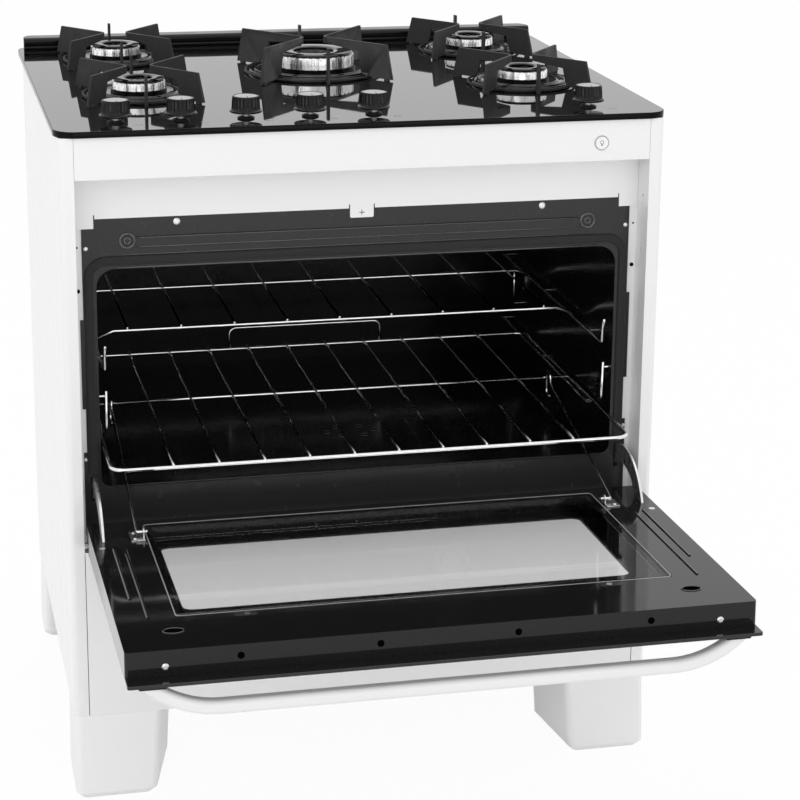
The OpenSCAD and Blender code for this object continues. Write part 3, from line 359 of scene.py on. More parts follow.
class Shape:
    """Points and faces gathered for one piece; points are in cabinet millimetres."""

    def __init__(self):
        self.verts = []
        self.faces = []

    def add(self, verts, faces):
        base = len(self.verts)
        self.verts += [Vector(v) for v in verts]
        self.faces += [tuple(base + i for i in f) for f in faces]
        return self

    def rings(self, rings, closed=False, caps=True):
        """Skins a row of point rings of equal length."""
        n = len(rings[0])
        verts = [p for ring in rings for p in ring]
        faces = []
        rows = len(rings)
        for i in range(rows if closed else rows - 1):
            a, b = i * n, (i + 1) % rows * n
            faces += [(a + j, a + (j + 1) % n, b + (j + 1) % n, b + j) for j in range(n)]
        if caps and not closed:
            faces += [tuple(range(n))[::-1], tuple((rows - 1) * n + j for j in range(n))]
        return self.add(verts, faces)

    def lathe(self, centre, profile, segments=64, wobble=None):
        """Turns (radius, height) points round a vertical axis. wobble(radius, height, angle) may
        change them."""
        n = len(profile)
        verts, faces = [], []
        for s in range(segments):
            a = 2 * math.pi * s / segments
            for r, z in profile:
                if wobble:
                    r, z = wobble(r, z, a)
                verts.append((centre[0] + r * math.cos(a), centre[1] + r * math.sin(a), centre[2] + z))
        for s in range(segments):
            a, b = s * n, (s + 1) % segments * n
            for j in range(n - 1):
                if profile[j][0] == 0 and profile[j + 1][0] == 0:
                    continue
                faces.append((a + j, b + j, b + j + 1, a + j + 1))
        return self.add(verts, faces)

    def tube(self, points, radius, sides=12, closed=False, steps=6, bend=0.0, ends=True):
        """A round wire along the points, with arcs of radius bend at its corners."""
        path = rounded(points, bend, steps, closed) if bend else [Vector(p) for p in points]
        rings = []
        n = len(path)
        side = None
        for i, p in enumerate(path):
            before = path[i - 1] if i or closed else p
            after = path[(i + 1) % n] if i < n - 1 or closed else p
            d = (after - before).normalized()
            if side is None:
                side = d.cross(Vector((0, 0, 1)))
                if side.length < 0.1:
                    side = d.cross(Vector((1, 0, 0)))
            side = (side - d * side.dot(d)).normalized()
            up = side.cross(d)
            rings.append([p + (side * math.cos(t) + up * math.sin(t)) * radius
                          for t in [2 * math.pi * k / sides for k in range(sides)]])
        if not closed and ends:          # round the two tips
            for first in (True, False):
                tip, inner = (path[0], path[1]) if first else (path[-1], path[-2])
                d = (tip - inner).normalized()
                ring = rings[0] if first else rings[-1]
                small = [tip + (q - tip) * 0.6 for q in ring]
                base = [q - d * radius * 0.25 for q in ring]
                if first:
                    rings[0] = base
                    rings.insert(0, small)
                else:
                    rings[-1] = base
                    rings.append(small)
        return self.rings(rings, closed)

    def make(self, name, look, body, stands_for=(), sharp=35, frame=None):
        """The finished piece. frame turns the points first, as for parts on the open door."""
        verts, faces = merge([frame @ v if frame else at(*v) for v in self.verts], self.faces)
        return piece(name, verts, faces, look, body, stands_for, sharp)


def merge(verts, faces, step=1e-6):
    """Joins points that coincide and drops faces that vanish with them."""
    index, new, where = {}, [], []
    for v in verts:
        key = (round(v[0] / step), round(v[1] / step), round(v[2] / step))
        if key not in index:
            index[key] = len(new)
            new.append(v)
        where.append(index[key])
    out = []
    for f in faces:
        g = []
        for i in f:
            if not g or where[i] != g[-1]:
                g.append(where[i])
        if len(g) > 1 and g[0] == g[-1]:
            g.pop()
        if len(set(g)) > 2:
            out.append(tuple(g))
    return new, out


def rounded(points, radius, steps=6, closed=False):
    """The line through the points with an arc at each corner."""
    pts = [Vector(p) for p in points]
    n = len(pts)
    out = []
    for i, p in enumerate(pts):
        if not closed and i in (0, n - 1):
            out.append(p)
            continue
        a, b = pts[i - 1], pts[(i + 1) % n]
        u, v = (a - p).normalized(), (b - p).normalized()
        angle = u.angle(v)
        if angle > math.pi - 0.02:
            out.append(p)
            continue
        cut = min(radius / math.tan(angle / 2), (a - p).length * 0.49, (b - p).length * 0.49)
        r = cut * math.tan(angle / 2)
        centre = p + (u + v).normalized() * (r / math.sin(angle / 2))
        s, e = p + u * cut - centre, p + v * cut - centre
        sweep = s.angle(e)
        for k in range(steps + 1):
            t = k / steps
            q = (s * math.sin((1 - t) * sweep) + e * math.sin(t * sweep)) / math.sin(sweep)
            out.append(centre + q)
    return out


def round_rect(x0, y0, x1, y1, r, n=8):
    """Corner points of a rounded rectangle, anticlockwise."""
    out = []
    corners = ((x1 - r, y1 - r), (x0 + r, y1 - r), (x0 + r, y0 + r), (x1 - r, y0 + r))
    for i, (cx, cy) in enumerate(corners):
        for k in range(n + 1):
            a, b = spot(r, 90 * i + 90 * k / n)
            out.append((cx + a, cy + b))
    return out


def circle(x, y, r, n):
    angles = [2 * math.pi * k / n for k in range(n)]
    return [(x + r * math.cos(a), y + r * math.sin(a)) for a in angles]


def plate(name, outlines, low, high, place, look, body, stands_for=(), edge=0.4, steps=2):
    """A flat sheet with holes and rounded edges: the outline first, then its holes, in millimetres.
    place(u, v, w) gives the cabinet point of a point of the sheet, w between low and high."""
    curve = bpy.data.curves.new(name, "CURVE")
    curve.dimensions = "2D"
    curve.fill_mode = "BOTH"
    for i, loop in enumerate(outlines):
        turns = sum(a[0] * b[1] - b[0] * a[1] for a, b in zip(loop, loop[1:] + loop[:1]))
        if (turns > 0) == (i > 0):
            loop = loop[::-1]
        line = curve.splines.new("POLY")
        line.points.add(len(loop) - 1)
        for point, (u, v) in zip(line.points, loop):
            point.co = (u, v, 0, 1)
        line.use_cyclic_u = True
    edge = min(edge, (high - low) / 2 * 0.98)
    curve.extrude = (high - low) / 2 - edge
    curve.bevel_depth = edge
    curve.bevel_resolution = steps
    curve.offset = -edge
    holder = bpy.data.objects.new(name + "_line", curve)
    bpy.context.scene.collection.objects.link(holder)
    bpy.context.view_layer.update()
    mesh = bpy.data.meshes.new_from_object(holder.evaluated_get(bpy.context.evaluated_depsgraph_get()))
    bpy.data.objects.remove(holder)
    middle = (low + high) / 2
    for v in mesh.vertices:
        v.co = place(v.co.x, v.co.y, v.co.z + middle)
    work = bmesh.new()
    work.from_mesh(mesh)
    bmesh.ops.remove_doubles(work, verts=work.verts, dist=1e-6)
    bmesh.ops.recalc_face_normals(work, faces=work.faces)
    work.to_mesh(mesh)
    work.free()
    mesh.name = name
    made = own(bpy.data.objects.new(name, mesh), look, body, stands_for, 50)
    steady(made)
    return made


def level(u, v, w):
    """A sheet that lies flat: u to the right, v back, w up."""
    return at(u, v, w)


def facing(u, v, w):
    """A sheet that faces the front: u to the right, v up, w backwards."""
    return at(u, w, v)


DOOR_TILT = math.radians(1.8)
HINGE = (6.0, 340.0)


def door_point(x, u, h):
    """A point of the open door: u outwards from the hinge, h across it."""
    c, s = math.cos(DOOR_TILT), math.sin(DOOR_TILT)
    return at(x, HINGE[0] - u * c + h * s, HINGE[1] + u * s + h * c)


class Door:
    """Lets Shape.make place points (x, u, h) on the door."""

    def __matmul__(self, v):
        return door_point(v[0], v[1], v[2])


ON_DOOR = Door()


# ---------------------------------------------------------------- main sizes

GLASS_Z = (858.0, 866.0)
KNOB_X = (-304, -225, -145, -65, 15, 292)
KNOB_Y = 48.0
KNOB_Z = GLASS_Z[1] + 8
SMALL, MIDDLE = (34.0, 66.5), (54.5, 88.0)        # crown radius, spill ring radius
BURNERS = ((-255, 228, *SMALL), (255, 228, *SMALL), (-255, 508, *SMALL), (255, 508, *SMALL),
           (0, 368, *MIDDLE))
OVEN_HALF = 333.0
LIP_Z = 404.0
MOUTH_TOP = 685.0
RECESS = 42.0
DOOR_FACE = RECESS - 4.3 - HINGE[0]

# ---------------------------------------------------------------- glass top

holes = [circle(x, KNOB_Y, 7.0, 40) for x in KNOB_X]
holes += [circle(x, y, crown + 6, 80) for x, y, crown, ring in BURNERS]
plate("glass_top", [round_rect(-381.7, -3.2, 381.7, 645.2, 26.2, 16)] + holes, *GLASS_Z, level,
      "black_glass", "root", ["cooktop_glass"], 0.3, 2)

rim = Shape()
rings = []
outer, inner = (round_rect(-382.5 + d, -4 + d, 382.5 - d, 646 - d, 27 - d, 16) for d in (0, 1))
for a, b in zip(outer, inner):
    out = Vector((a[0] - b[0], a[1] - b[1], 0))
    rings.append([Vector((a[0], a[1], 0)) - out * d + Vector((0, 0, z)) for d, z in
                  ((0.9, 858.05), (0.5, 858.05), (0.15, 858.2), (0, 858.6), (0, 865.3), (0.15, 865.75),
                   (0.5, 865.97), (0.9, 865.97))])
rim.rings(rings, closed=True)
rim.make("glass_rim", "glass_edge", "root", ["cooktop_glass"], 50)

# ---------------------------------------------------------------- knobs


def knob(number, x):
    """Knob with a fluted dark body, a skirt and a domed silver cap with a mark."""
    body = Shape()
    flutes = 24

    def flute(r, z, a):
        depth = 1.25 * max(0.0, min(1.0, (z - 3.2) / 1.5, (19.6 - z) / 1.0))
        wave = 0.5 - 0.5 * math.cos(a * flutes)
        return r - depth * (wave ** 0.8), z

    profile = [(0.0, 2.0), (4.3, 2.0), (4.3, 0.0), (19.2, 0.0), (19.8, 0.4), (20.0, 1.1), (19.9, 2.2),
               (19.2, 2.8), (18.2, 3.2), (17.8, 4.2), (17.5, 8.0), (17.1, 14.0), (16.8, 18.0), (16.5, 19.2),
               (15.9, 20.0), (15.2, 20.3), (14.9, 19.9), (0.0, 19.9)]
    body.lathe((x, KNOB_Y, KNOB_Z), profile, 192, flute)
    body.make(f"knob_body_{number}", "black_plastic", f"knob_{number}", [f"knob_{number}"], 40)
    cap = Shape()
    wide = 14.75
    dome = [(wide * spot(1, t)[1], 19.4 + spot(1.6, t)[0]) for t in range(0, 91, 9)]
    cap.lathe((x, KNOB_Y, KNOB_Z), dome + [(wide, 18.6), (0.0, 18.6)], 96)
    cap.make(f"knob_cap_{number}", "silver_cap", f"knob_{number}", [], 40)
    mark = Shape()
    mark.tube([(x, KNOB_Y - 13.6, KNOB_Z + 19.95), (x, KNOB_Y - 9.2, KNOB_Z + 20.55)], 0.55, 8)
    mark.make(f"knob_mark_{number}", "black_plastic", f"knob_{number}", [])


for i, x in enumerate(KNOB_X):
    knob(i + 1, x)

# printed signs beside the knobs: a hob's outline with the knob's own burner in it
signs = Shape()
sign_share = 0.009                      # the sign's size over the hob's
for i, x in enumerate(KNOB_X):
    cx, cy, z = x + 27, KNOB_Y - 17, GLASS_Z[1] + 0.02
    signs.tube([(cx - 4, cy - 3, z), (cx + 4, cy - 3, z), (cx + 4, cy + 3, z), (cx - 4, cy + 3, z)], 0.3, 6,
               closed=True)
    bx, by = BURNERS[i % 5][:2]
    signs.tube([(cx + bx * sign_share + a, cy + (by - BURNERS[-1][1]) * sign_share + b, z)
                for a, b in (spot(0.9, t) for t in range(0, 360, 30))], 0.45, 6, closed=True)
signs.make("knob_signs", "sign_print", "root", [], 60)

# ---------------------------------------------------------------- burners


def burner(number, x, y, crown, ring):
    """Spill ring, flange, slotted crown and lid of one burner."""
    base = GLASS_Z[1]
    neck = crown - 4
    spill = Shape()
    profile = [(neck, 5.6), (neck, -8.0), (neck + 1.5, -8.0), (neck + 1.5, 0.0), (ring, 0.0)]
    profile += [(ring - 2.5 + a, 2.5 + b) for a, b in (spot(2.5, t) for t in range(0, 150, 15))]
    profile += [(ring - 6.4, 3.3)]
    profile += [(ring - 9 + a, 4.1 + b) for a, b in (spot(2.4, t) for t in range(10, 171, 16))]
    profile += [(ring - 12.8, 4.4), (crown + 16, 4.6), (crown + 14.5, 5.9), (crown + 13.2, 6.4),
                (crown + 11.5, 6.4), (crown + 10.4, 5.8), (crown + 5, 5.6)]
    profile.append(profile[0])
    spill.lathe((x, y, base), profile, 120)
    spill.make(f"spill_ring_{number}", "ring_enamel", "root", ["spill_rings"], 50)

    head = Shape()
    seat = base + 6
    bore = crown * 0.42
    profile = [(bore, -1.0), (bore, 3.4), (crown * 0.45, 4.0), (crown + 1.2, 4.0), (crown + 2.0, 3.4),
               (crown + 2.0, 0.6), (crown + 1.4, 0.0), (neck - 0.3, 0.0), (neck - 0.3, -12.0), (bore, -12.0),
               (bore, -1.0)]
    head.lathe((x, y, seat), profile, 96)
    head.make(f"burner_flange_{number}", "ring_enamel", "root", [], 40)

    slots = 36 if crown > 40 else 24
    tall = 20.0 if crown > 40 else 14.0
    top = Shape()
    inner = crown * 0.62
    angles = []
    half = 1.0 / crown
    for k in range(slots):
        a = 2 * math.pi * k / slots
        gap = 2 * math.pi / slots
        angles += [(a - half - 0.002, 0, 0), (a - half, 1, 0), (a + half, 1, 0), (a + half + 0.002, 0, 0)]
        angles += [(a + half + (gap - 2 * half) * f, 0, depth)
                   for f, depth in ((0.28, 0), (0.34, 1.1), (0.62, 1.1), (0.68, 0))]
    rings = []
    for a, cut, flat in angles:
        drop = 2.4 if cut else 0.0
        out = crown - flat
        line = [(inner + 0.4, 0), (inner, 0.6), (inner, tall - 5.4), (inner + 0.9, tall - 4.6),
                (crown * 0.90, tall - 4.4), (crown * 0.91, tall - 4.2 - drop), (out - 0.5, tall - 4.2 - drop),
                (out - 0.1, tall - 4.4 - drop), (out, tall - 4.8 - drop),
                (out + 0.2, (tall - 5) * 0.4), (out + 0.5, 0.4), (out, 0)]
        rings.append([(x + r * math.cos(a), y + r * math.sin(a), seat + 4 + z) for r, z in line])
    top.rings(rings, closed=True)
    top.make(f"burner_crown_{number}", "bare_aluminium", "root", ["burner_crowns"], 20)

    lid = Shape()
    profile = [(crown * part, tall - drop) for part, drop in
               ((0.52, 3.6), (0.50, 3.2), (0.50, 1.4), (0.53, 0.6), (0.60, 0.15), (0.72, 0), (0.90, 0.3),
                (0.95, 0.9), (0.965, 1.8), (0.955, 3.0), (0.94, 3.6), (0.52, 3.6))]
    lid.lathe((x, y, seat + 4), profile, 96)
    lid.make(f"burner_lid_{number}", "ring_enamel", "root", [], 40)


for i, b in enumerate(BURNERS):
    burner(i + 1, *b)

# ---------------------------------------------------------------- oven front

frame_side = [(354, 341), (354, 450), (350, 450), (350, 507), (354, 507), (354, 622), (350, 622), (350, 757)]
frame_outline = [(-354, 341)] + frame_side + [(-x, z) for x, z in frame_side[:0:-1]]


def mouth_outline():
    """The oven's opening, with larger corners at the top."""
    out = []
    top, low = 23, 11
    corners = ((OVEN_HALF - top, MOUTH_TOP - top, top), (-OVEN_HALF + top, MOUTH_TOP - top, top),
               (-OVEN_HALF + low, LIP_Z + low, low), (OVEN_HALF - low, LIP_Z + low, low))
    for i, (cx, cy, r) in enumerate(corners):
        for k in range(9):
            a, b = spot(r, 90 * i + 90 * k / 8)
            out.append((cx + a, cy + b))
    return out


def stay_z(r, y):
    """Height at depth y of a circle of radius r round the door's hinge."""
    return HINGE[1] + math.sqrt(r * r - (y - HINGE[0]) ** 2)


stay_low, stay_high = stay_z(60, 43.2) - 3, stay_z(84, 42) + 2
ARM_X = 341.5
slots = [round_rect(x0, stay_low, x1, stay_high, 0.5, 2)
         for x0, x1 in (sorted((s * (ARM_X - 1.5), s * (ARM_X + 4.5))) for s in (-1, 1))]
plate("oven_front", [frame_outline, mouth_outline()] + slots, 42, 43.2, facing, "front_enamel", "root",
      ["oven_front_frame"], 0.4, 2)

# pressed band above the mouth with a round boss at each end
band = MOUTH_TOP + 26
plate("front_band", [round_rect(-284, band, 284, band + 14, 5, 6)], 40.2, 42.2, facing, "front_enamel",
      "root", [], 0.9, 4)
ridge = Shape()
for z, r in ((band + 1.2, 0.9), (band + 12.8, 0.9)):
    ridge.tube([(-280, 40.4, z), (280, 40.4, z)], r, 12)
ridge.tube([(-OVEN_HALF + 30, 42.2, MOUTH_TOP + 17.5), (OVEN_HALF - 30, 42.2, MOUTH_TOP + 17.5)], 0.9, 12)
ridge.make("front_ridges", "pressed_enamel", "root", [], 60)
for s in (-1, 1):
    boss = Shape()
    for r, y, step, wire, sides in ((9, 42.3, 8, 2.0, 12), (3.6, 42.0, 15, 1.5, 10)):
        boss.tube([(s * 294 + a, y, MOUTH_TOP + 35 + b) for a, b in
                   (spot(r, t) for t in range(0, 360, step))], wire, sides, closed=True)
    boss.make(f"front_boss_{'left' if s < 0 else 'right'}", "pressed_enamel", "root", [], 60)
lip = Shape()
lip.tube([(-OVEN_HALF + 12, 43.4, LIP_Z - 1), (OVEN_HALF - 12, 43.4, LIP_Z - 1)], 1.9, 14)
lip.make("rolled_lip", "black_enamel", "root", [], 60)
roll = Shape()
roll.tube([(-OVEN_HALF + 26, 42.6, MOUTH_TOP + 1.4), (OVEN_HALF - 26, 42.6, MOUTH_TOP + 1.4)], 1.5, 14)
roll.make("mouth_roll", "pressed_enamel", "root", [], 60)
FLOOR_HOLES = [(19 + spot(32, t)[0], 205 + spot(22, t)[1]) for t in range(0, 360, 60)]
for k, (x, y) in enumerate(FLOOR_HOLES):
    hole = Shape()
    hole.tube([(x + a, y + b, 401.4) for a, b in (spot(5.2, t) for t in range(0, 360, 12))], 0.6, 8,
              closed=True)
    hole.make(f"floor_hole_{k + 1}", "pressed_enamel", "root", [], 60)

# ---------------------------------------------------------------- door seal

seal_top = MOUTH_TOP + 10.5
seal_x = OVEN_HALF + 10
seal_low = stay_z(84, 38) + 5
path = rounded([(-seal_x, 40.3, seal_low), (-seal_x, 40.3, seal_top), (seal_x, 40.3, seal_top),
                (seal_x, 40.3, seal_low)], 22, 10)


def along(line, step):
    """Points a step apart along a line."""
    out, carry = [line[0]], 0.0
    for a, b in zip(line, line[1:]):
        length = (b - a).length
        t = step - carry
        while t <= length:
            out.append(a + (b - a) * (t / length))
            t += step
        carry = length - (t - step)
    return out


seal = Shape()
line = along(path, 1.5)
rings = []
for i, p in enumerate(line):
    d = (line[min(i + 1, len(line) - 1)] - line[max(i - 1, 0)]).normalized()
    side = d.cross(Vector((0, 1, 0))).normalized()
    swell = 1 + 0.06 * math.cos(math.pi * i)
    rings.append([p + side * 5.6 * swell * math.cos(t) + Vector((0, -1, 0)) * 2.15 * swell * math.sin(t)
                  for t in [2 * math.pi * k / 16 for k in range(16)]])
seal.rings(rings)
seal.make("seal_rope", "grey_seal", "root", ["door_seal"], 70)

# ---------------------------------------------------------------- racks and shelves

RACK_X = OVEN_HALF - 9
LOWER_Z, UPPER_Z = 457.0, 565.0
lower_rail = LOWER_Z - 4.8
end_z = UPPER_Z - 10
upper_rail = end_z - 4.8


def rack(side, name):
    """The wires that carry the shelves along one side of the oven."""
    x = side * RACK_X
    wires = Shape()
    for rail, line, bend in ((lower_rail, ((50, 75), (54, 24), (105, 0), (544, 0)), 9),
                             (upper_rail, ((50, 35), (58, 19), (58, 0), (544, 0)), 5)):
        wires.tube([(x, y, rail + up) for y, up in line], 2.0, 12, bend=bend)
    wires.tube([(x, 482, upper_rail), (x, 482, upper_rail - 66)], 1.8, 12)
    pegs = [(y, z) for y in (120, 330, 540) for z in (lower_rail, upper_rail)]
    pegs += [(50.5, lower_rail + 68), (482, upper_rail - 60)]
    for y, z in pegs:
        wires.tube([(x, y, z), (side * (OVEN_HALF - 0.4), y, z)], 1.5, 10, ends=False)
    wires.make(name, "chrome_wire", "root", ["side_racks"], 60)


rack(-1, "rack_left")
rack(1, "rack_right")

shelf = Shape()
end_x = RACK_X + 2
for y in (186, 390, 530):
    shelf.tube([(-end_x, y, end_z), (-end_x + 26, y, UPPER_Z), (end_x - 26, y, UPPER_Z), (end_x, y, end_z)],
               2.5, 14, bend=8)
for i in range(-4, 5):
    shelf.tube([(i * 70.4, 183, UPPER_Z + 3.4), (i * 70.4, 536, UPPER_Z + 3.4)], 1.5, 10)
shelf.make("shelf_top", "chrome_wire", "upper_shelf", ["upper_shelf"], 60)

shelf = Shape()
half = RACK_X + 5
shelf.tube([(-half, 436, LOWER_Z), (-half, -52, LOWER_Z), (half, -52, LOWER_Z), (half, 436, LOWER_Z)],
           2.5, 14, closed=True, bend=18, steps=10)
shelf.tube([(-half, 216, LOWER_Z), (half, 216, LOWER_Z)], 2.3, 12)
for i in range(5):
    for s in (-1, 1):
        x = s * (i + 0.5) * 56.4
        shelf.tube([(x, -53, LOWER_Z + 3.4), (x, 439, LOWER_Z + 3.4)], 1.5, 10)
shelf.tube([(-110, 436, LOWER_Z), (-110, 436, LOWER_Z + 31), (110, 436, LOWER_Z + 31), (110, 436, LOWER_Z)],
           2.1, 12, bend=10)
shelf.make("shelf_low", "chrome_wire", "lower_shelf", ["lower_shelf"], 60)

LINK_X, HOOK_U, HOOK_H = 302.0, 72.0, DOOR_FACE + 7.3
hook = door_point(0, HOOK_U, HOOK_H) / MM
hook = (hook.y - Y_SHIFT, hook.z)
for s, side in ((-1, "left"), (1, "right")):
    x = s * LINK_X
    eye_y, eye_z, eye_r, drop = 216 + 3.8, LOWER_Z - 1.5, 8.8, 19.0
    link = Shape()
    turn = [(x, eye_y - a, eye_z + b) for a, b in (spot(eye_r, t) for t in range(0, 181, 15))]
    turn += [(x, eye_y + a, eye_z - drop - b) for a, b in (spot(eye_r, t) for t in range(0, 151, 15))]
    link.tube([(x - s * 13, *hook), (x, *hook), (x, eye_y - eye_r, eye_z - 5)] + turn, 1.6, 12, bend=2.2)
    link.tube([(x - s * 13.2, *hook), (x - s * 11.4, *hook)], 2.3, 14)
    link.make(f"link_{side}", "chrome_wire", "links", ["shelf_links"], 60)

# ---------------------------------------------------------------- door glass

window = round_rect(-270, -256, 270, -38, 12, 8)


def door_sheet(u, v, w):
    """A sheet on the door: u to the right, v back towards the hinge, w across it."""
    return door_point(u, -v, w)


plate("door_glass", [round_rect(-357.5, -461, 357.5, -6, 3, 6), window], -1.3, 2.7, door_sheet,
      "door_glass_black", "oven_door", ["door_outer_glass"], 0.5, 2)
plate("door_window", [window], -1.25, 2.65, door_sheet, "tinted_glass", "oven_door", ["door_outer_glass"],
      0.05, 1)
plate("inner_pane", [round_rect(-290, -342, 290, -26, 6, 6)], DOOR_FACE - 4, DOOR_FACE, door_sheet,
      "clear_glass", "oven_door", ["door_inner_glass"], 0.4, 2)

# A light grey wire round the inner pane: painted highlight along its glass edge.
pane_highlight_rim = Shape()
outline = round_rect(-289.6, -341.6, 289.6, -26.4, 6, 6)
pane_highlight_rim.tube([(x, -y, DOOR_FACE - 0.45) for x, y in outline], 0.8, 8, closed=True)
pane_highlight_rim.make("pane_highlight_rim", "pane_edge_highlight", "oven_door", [], 60, frame=ON_DOOR)


def disc(shape, centre, radius, turned, across=1.0, thick=0.25, n=32):
    """A thin disc at a point: turned(a, b, c) gives the point's offset, c along the disc's axis."""
    rings = [[Vector(centre) + Vector(turned(r * across * math.cos(t), r * math.sin(t), c))
              for t in [2 * math.pi * k / n for k in range(n)]]
             for r, c in ((radius * 0.5, 0), (radius, 0), (radius, thick), (radius * 0.5, thick))]
    return shape.rings(rings)


# Dark discs in the door's edge holes: painted shade of the holes.
dark = Shape()
for s in (-1, 1):
    for x in (78, 232):
        disc(dark, (s * x, 438.02, DOOR_FACE - 13), 4.0, lambda a, b, c: (a, c, b))
dark.make("door_edge_hole_shade", "painted_shade_black", "oven_door", [], 60, frame=ON_DOOR)
# Dark discs in the door's corner holes are painted shade; the rims round them are pressed enamel.
corner = Shape()
rims = Shape()
for s in (-1, 1):
    disc(corner, (s * 298, 385, DOOR_FACE + 0.02), 7.0, lambda a, b, c: (a, b, c), 1.5)
    rims.tube([(s * 298 + spot(11.5, t)[0], 385 + spot(7.8, t)[1], DOOR_FACE + 0.3)
               for t in range(0, 360, 10)], 0.8, 8, closed=True)
corner.make("door_corner_hole_shade", "painted_shade_black", "oven_door", [], 60, frame=ON_DOOR)
rims.make("door_corner_rims", "pressed_enamel", "oven_door", [], 60, frame=ON_DOOR)

for s in (-1, 1):
    clip = [round_rect(s * 213 - 13, -356, s * 213 + 13, -345.5, 3, 5), circle(s * 211, -350, 3.7, 32)]
    plate(f"pane_clip_{'left' if s < 0 else 'right'}", clip, DOOR_FACE + 0.02, DOOR_FACE + 0.27, door_sheet,
          "pressed_enamel", "oven_door", [], 0.1, 1)
caps = Shape()
for s in (-1, 1):
    disc(caps, (s * 347, 103, DOOR_FACE - 0.05), 4.05, lambda a, b, c: (a, b, c), 1.0, 0.33)
    disc(caps, (s * 211, 350, DOOR_FACE - 0.05), 3.6, lambda a, b, c: (a, b, c), 1.0, 0.33)
caps.make("door_screw_heads", "bright_zinc", "oven_door", [], 60, frame=ON_DOOR)
# Dark discs under the oven floor's holes: painted shade.
wells = Shape()
for x, y in FLOOR_HOLES:
    disc(wells, (x, y, 401.0), 5.1, lambda a, b, c: (a, b, c))
wells.make("floor_well_shade", "painted_shade_black", "root", [], 60)

# Dark discs over the posts' fixing holes: painted shade.
fixings = Shape()
for s in (-1, 1):
    disc(fixings, (s * 355.6, 43.18, 658.6), 2.6, lambda a, b, c: (a, -c, b))
    disc(fixings, (s * 355.6, 43.18, 713.6), 1.3, lambda a, b, c: (a, -c, b))
fixings.make("post_hole_shade", "painted_shade_black", "root", [], 60)
# Dark lines along the kick panel's seams: painted shade in the gaps.
seams = Shape()
seam_x, seam_y = 359.9, 0.65
for s in (-1, 1):
    seams.tube([(s * seam_x, seam_y, 113), (s * seam_x, seam_y, 331)], 0.8, 8)
seams.make("kick_seam_shade", "painted_shade_black", "root", [], 60)

# ---------------------------------------------------------------- finishes of the CAD's own pieces

for node, look, edge in (
        ("side_panel_left", "white_enamel", 0.0003), ("side_panel_right", "white_enamel", 0.0003),
        ("rear_panel", "white_paint", 0.0002), ("flue_duct", "white_paint", 0.0004),
        ("base_frame", "white_paint", 0.0002), ("kick_panel", "white_enamel", 0.0003),
        ("front_rail", "white_enamel", 0.0002), ("control_panel", "white_enamel", 0.0004),
        ("feet", "white_plastic", 0.0), ("rear_trim", "black_paint", 0.0005),
        ("burner_tray", "white_paint", 0.0002), ("oven_liner", "oven_enamel", 0.0002),
        ("oven_floor", "oven_enamel", 0.0002), ("oven_burner", "plain_steel", 0.0),
        ("burner_bodies", "black_paint", 0.0), ("gas_valves", "brass", 0.0004),
        ("gas_manifold", "tube_steel", 0.0003), ("burner_tubes", "tube_steel", 0.0),
        ("spark_electrodes", "ceramic", 0.0002), ("body_screws", "bright_zinc", 0.0),
        ("oven_lamp", "lamp_glass", 0.0008), ("insulation", "insulation_wool", 0.002),
        ("ignition_module", "black_plastic", 0.0008), ("spindle_grommets", "black_rubber", 0.0004),
        # the handle takes the darker copy of the white paint: painted shade
        ("door_inner_panel", "black_enamel", 0.0004), ("door_handle", "handle_shaded_white", 0.0006),
        ("handle_spacers", "black_plastic", 0.0004), ("shelf_hooks", "bright_zinc", 0.0003),
        ("hinge_arms", "bright_zinc", 0.0003), ("hinge_pins", "plain_steel", 0.0003),
        ("door_screws", "bright_zinc", 0.0), ("light_button", "white_plastic", 0.0005)):
    dress(node, look, edge)
for i in range(6):
    dress(f"spindle_{i + 1}", "plain_steel", 0.0002)
for i in range(5):
    dress(f"grate_{i + 1}", "grate_enamel", 0.0005)

# ---------------------------------------------------------------- lamp button's ring and sign

BUTTON = (296.0, -1.55, 829.0)
sign = Shape()
for r, wide in ((8.5, 0.28), (2.1, 0.3)):
    up = 0.9 if r < 3 else 0
    sign.tube([(BUTTON[0] + a, BUTTON[1], BUTTON[2] + up + b) for a, b in
               (spot(r, t) for t in range(0, 360, 10))], wide, 8, closed=True)
for k in range(3):
    sign.tube([(BUTTON[0] - 0.9, BUTTON[1], BUTTON[2] - 1.8 - 0.75 * k),
               (BUTTON[0] + 0.9, BUTTON[1], BUTTON[2] - 1.8 - 0.75 * k)], 0.28, 8)
sign.make("button_sign", "print_grey", "lamp_button", [], 60)


# ---------------------------------------------------------------- camera, light and floor

def camera():
    yaw, pitch, roll = 0.22687, 0.26867, 0.0093
    forward = Vector((math.sin(yaw) * math.cos(pitch), math.cos(yaw) * math.cos(pitch), -math.sin(pitch)))
    right = Vector((math.cos(yaw), -math.sin(yaw), 0))
    up = right.cross(forward)
    right, up = (math.cos(roll) * right + math.sin(roll) * up, -math.sin(roll) * right + math.cos(roll) * up)
    data = bpy.data.cameras.new("camera")
    data.sensor_width = 36
    data.lens = 104.02
    data.shift_y = -0.12
    data.clip_end = 100
    obj = bpy.data.objects.new("camera", data)
    bpy.context.scene.collection.objects.link(obj)
    turn = Matrix((right, up, -forward)).transposed().to_4x4()
    obj.matrix_world = Matrix.Translation(at(-585.76, -2707.97, 1398.91)) @ turn
    bpy.context.scene.camera = obj


def lamp(name, place, target, size, power):
    data = bpy.data.lights.new(name, "AREA")
    data.shape = "RECTANGLE"
    data.size, data.size_y = size
    data.energy = power
    obj = bpy.data.objects.new(name, data)
    bpy.context.scene.collection.objects.link(obj)
    obj.location = place
    obj.rotation_mode = "QUATERNION"
    obj.rotation_quaternion = (Vector(target) - Vector(place)).to_track_quat("-Z", "Y")


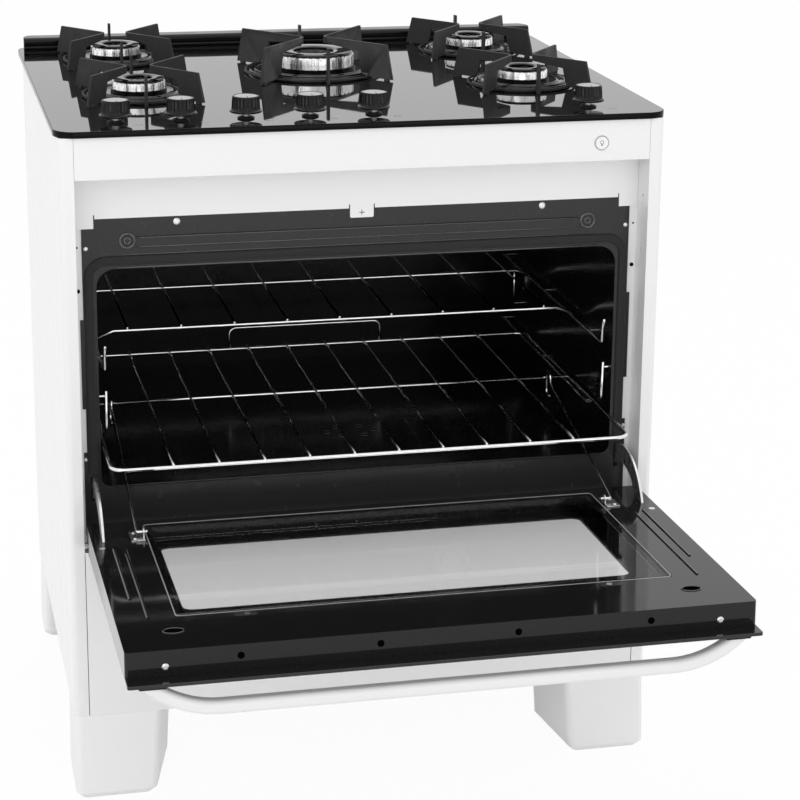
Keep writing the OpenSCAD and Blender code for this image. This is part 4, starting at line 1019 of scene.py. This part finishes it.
def seen_ray(tree):
    """1 for rays that show the background itself: camera, glossy and transmission rays."""
    path = tree.nodes.new("ShaderNodeLightPath")
    total = path.outputs["Is Camera Ray"]
    for name in ("Is Glossy Ray", "Is Transmission Ray"):
        add = tree.nodes.new("ShaderNodeMath")
        add.operation = "MAXIMUM"
        tree.links.new(total, add.inputs[0])
        tree.links.new(path.outputs[name], add.inputs[1])
        total = add.outputs[0]
    return total


def world():
    made = bpy.data.worlds.new("world")
    made.use_nodes = True
    tree = made.node_tree
    tree.nodes.clear()
    out = tree.nodes.new("ShaderNodeOutputWorld")
    light, shown = tree.nodes.new("ShaderNodeBackground"), tree.nodes.new("ShaderNodeBackground")
    light.inputs["Strength"].default_value = 0.92
    light.inputs["Color"].default_value = (1, 1, 1, 1)
    shown.inputs["Strength"].default_value = 1.0
    shown.inputs["Color"].default_value = (1, 1, 1, 1)
    mix = tree.nodes.new("ShaderNodeMixShader")
    tree.links.new(seen_ray(tree), mix.inputs["Fac"])
    tree.links.new(light.outputs[0], mix.inputs[1])
    tree.links.new(shown.outputs[0], mix.inputs[2])
    tree.links.new(mix.outputs[0], out.inputs["Surface"])
    bpy.context.scene.world = made


def floor():
    mesh = bpy.data.meshes.new("floor")
    mesh.from_pydata([(-12, -12, 0), (12, -12, 0), (12, 12, 0), (-12, 12, 0)], [], [(0, 1, 2, 3)])
    obj = bpy.data.objects.new("floor", mesh)
    bpy.context.scene.collection.objects.link(obj)
    mat = bpy.data.materials.new("floor")
    mat.use_nodes = True
    tree = mat.node_tree
    tree.nodes.clear()
    out = tree.nodes.new("ShaderNodeOutputMaterial")
    plain = tree.nodes.new("ShaderNodeBsdfDiffuse")
    plain.inputs["Color"].default_value = (0.9, 0.9, 0.9, 1)
    glow = tree.nodes.new("ShaderNodeEmission")
    glow.inputs["Strength"].default_value = 1.0
    share = tree.nodes.new("ShaderNodeMath")
    share.operation = "MULTIPLY"
    share.inputs[1].default_value = 0.95
    tree.links.new(seen_ray(tree), share.inputs[0])
    mix = tree.nodes.new("ShaderNodeMixShader")
    tree.links.new(share.outputs[0], mix.inputs["Fac"])
    tree.links.new(plain.outputs[0], mix.inputs[1])
    tree.links.new(glow.outputs[0], mix.inputs[2])
    tree.links.new(mix.outputs[0], out.inputs["Surface"])
    obj.data.materials.append(mat)


camera()
world()
floor()
lamp("key", (-2.0, -2.6, 2.4), (0, 0, 0.5), (2.4, 2.0), 13)
lamp("fill", (0.2, -3.2, 0.55), (0, 0, 0.2), (2.6, 0.8), 8)
lamp("top", (0.2, 0.6, 3.2), (0, 0, 0.8), (2.6, 2.6), 12)
bpy.context.scene.view_settings.view_transform = "Standard"

bpy.context.view_layer.update()
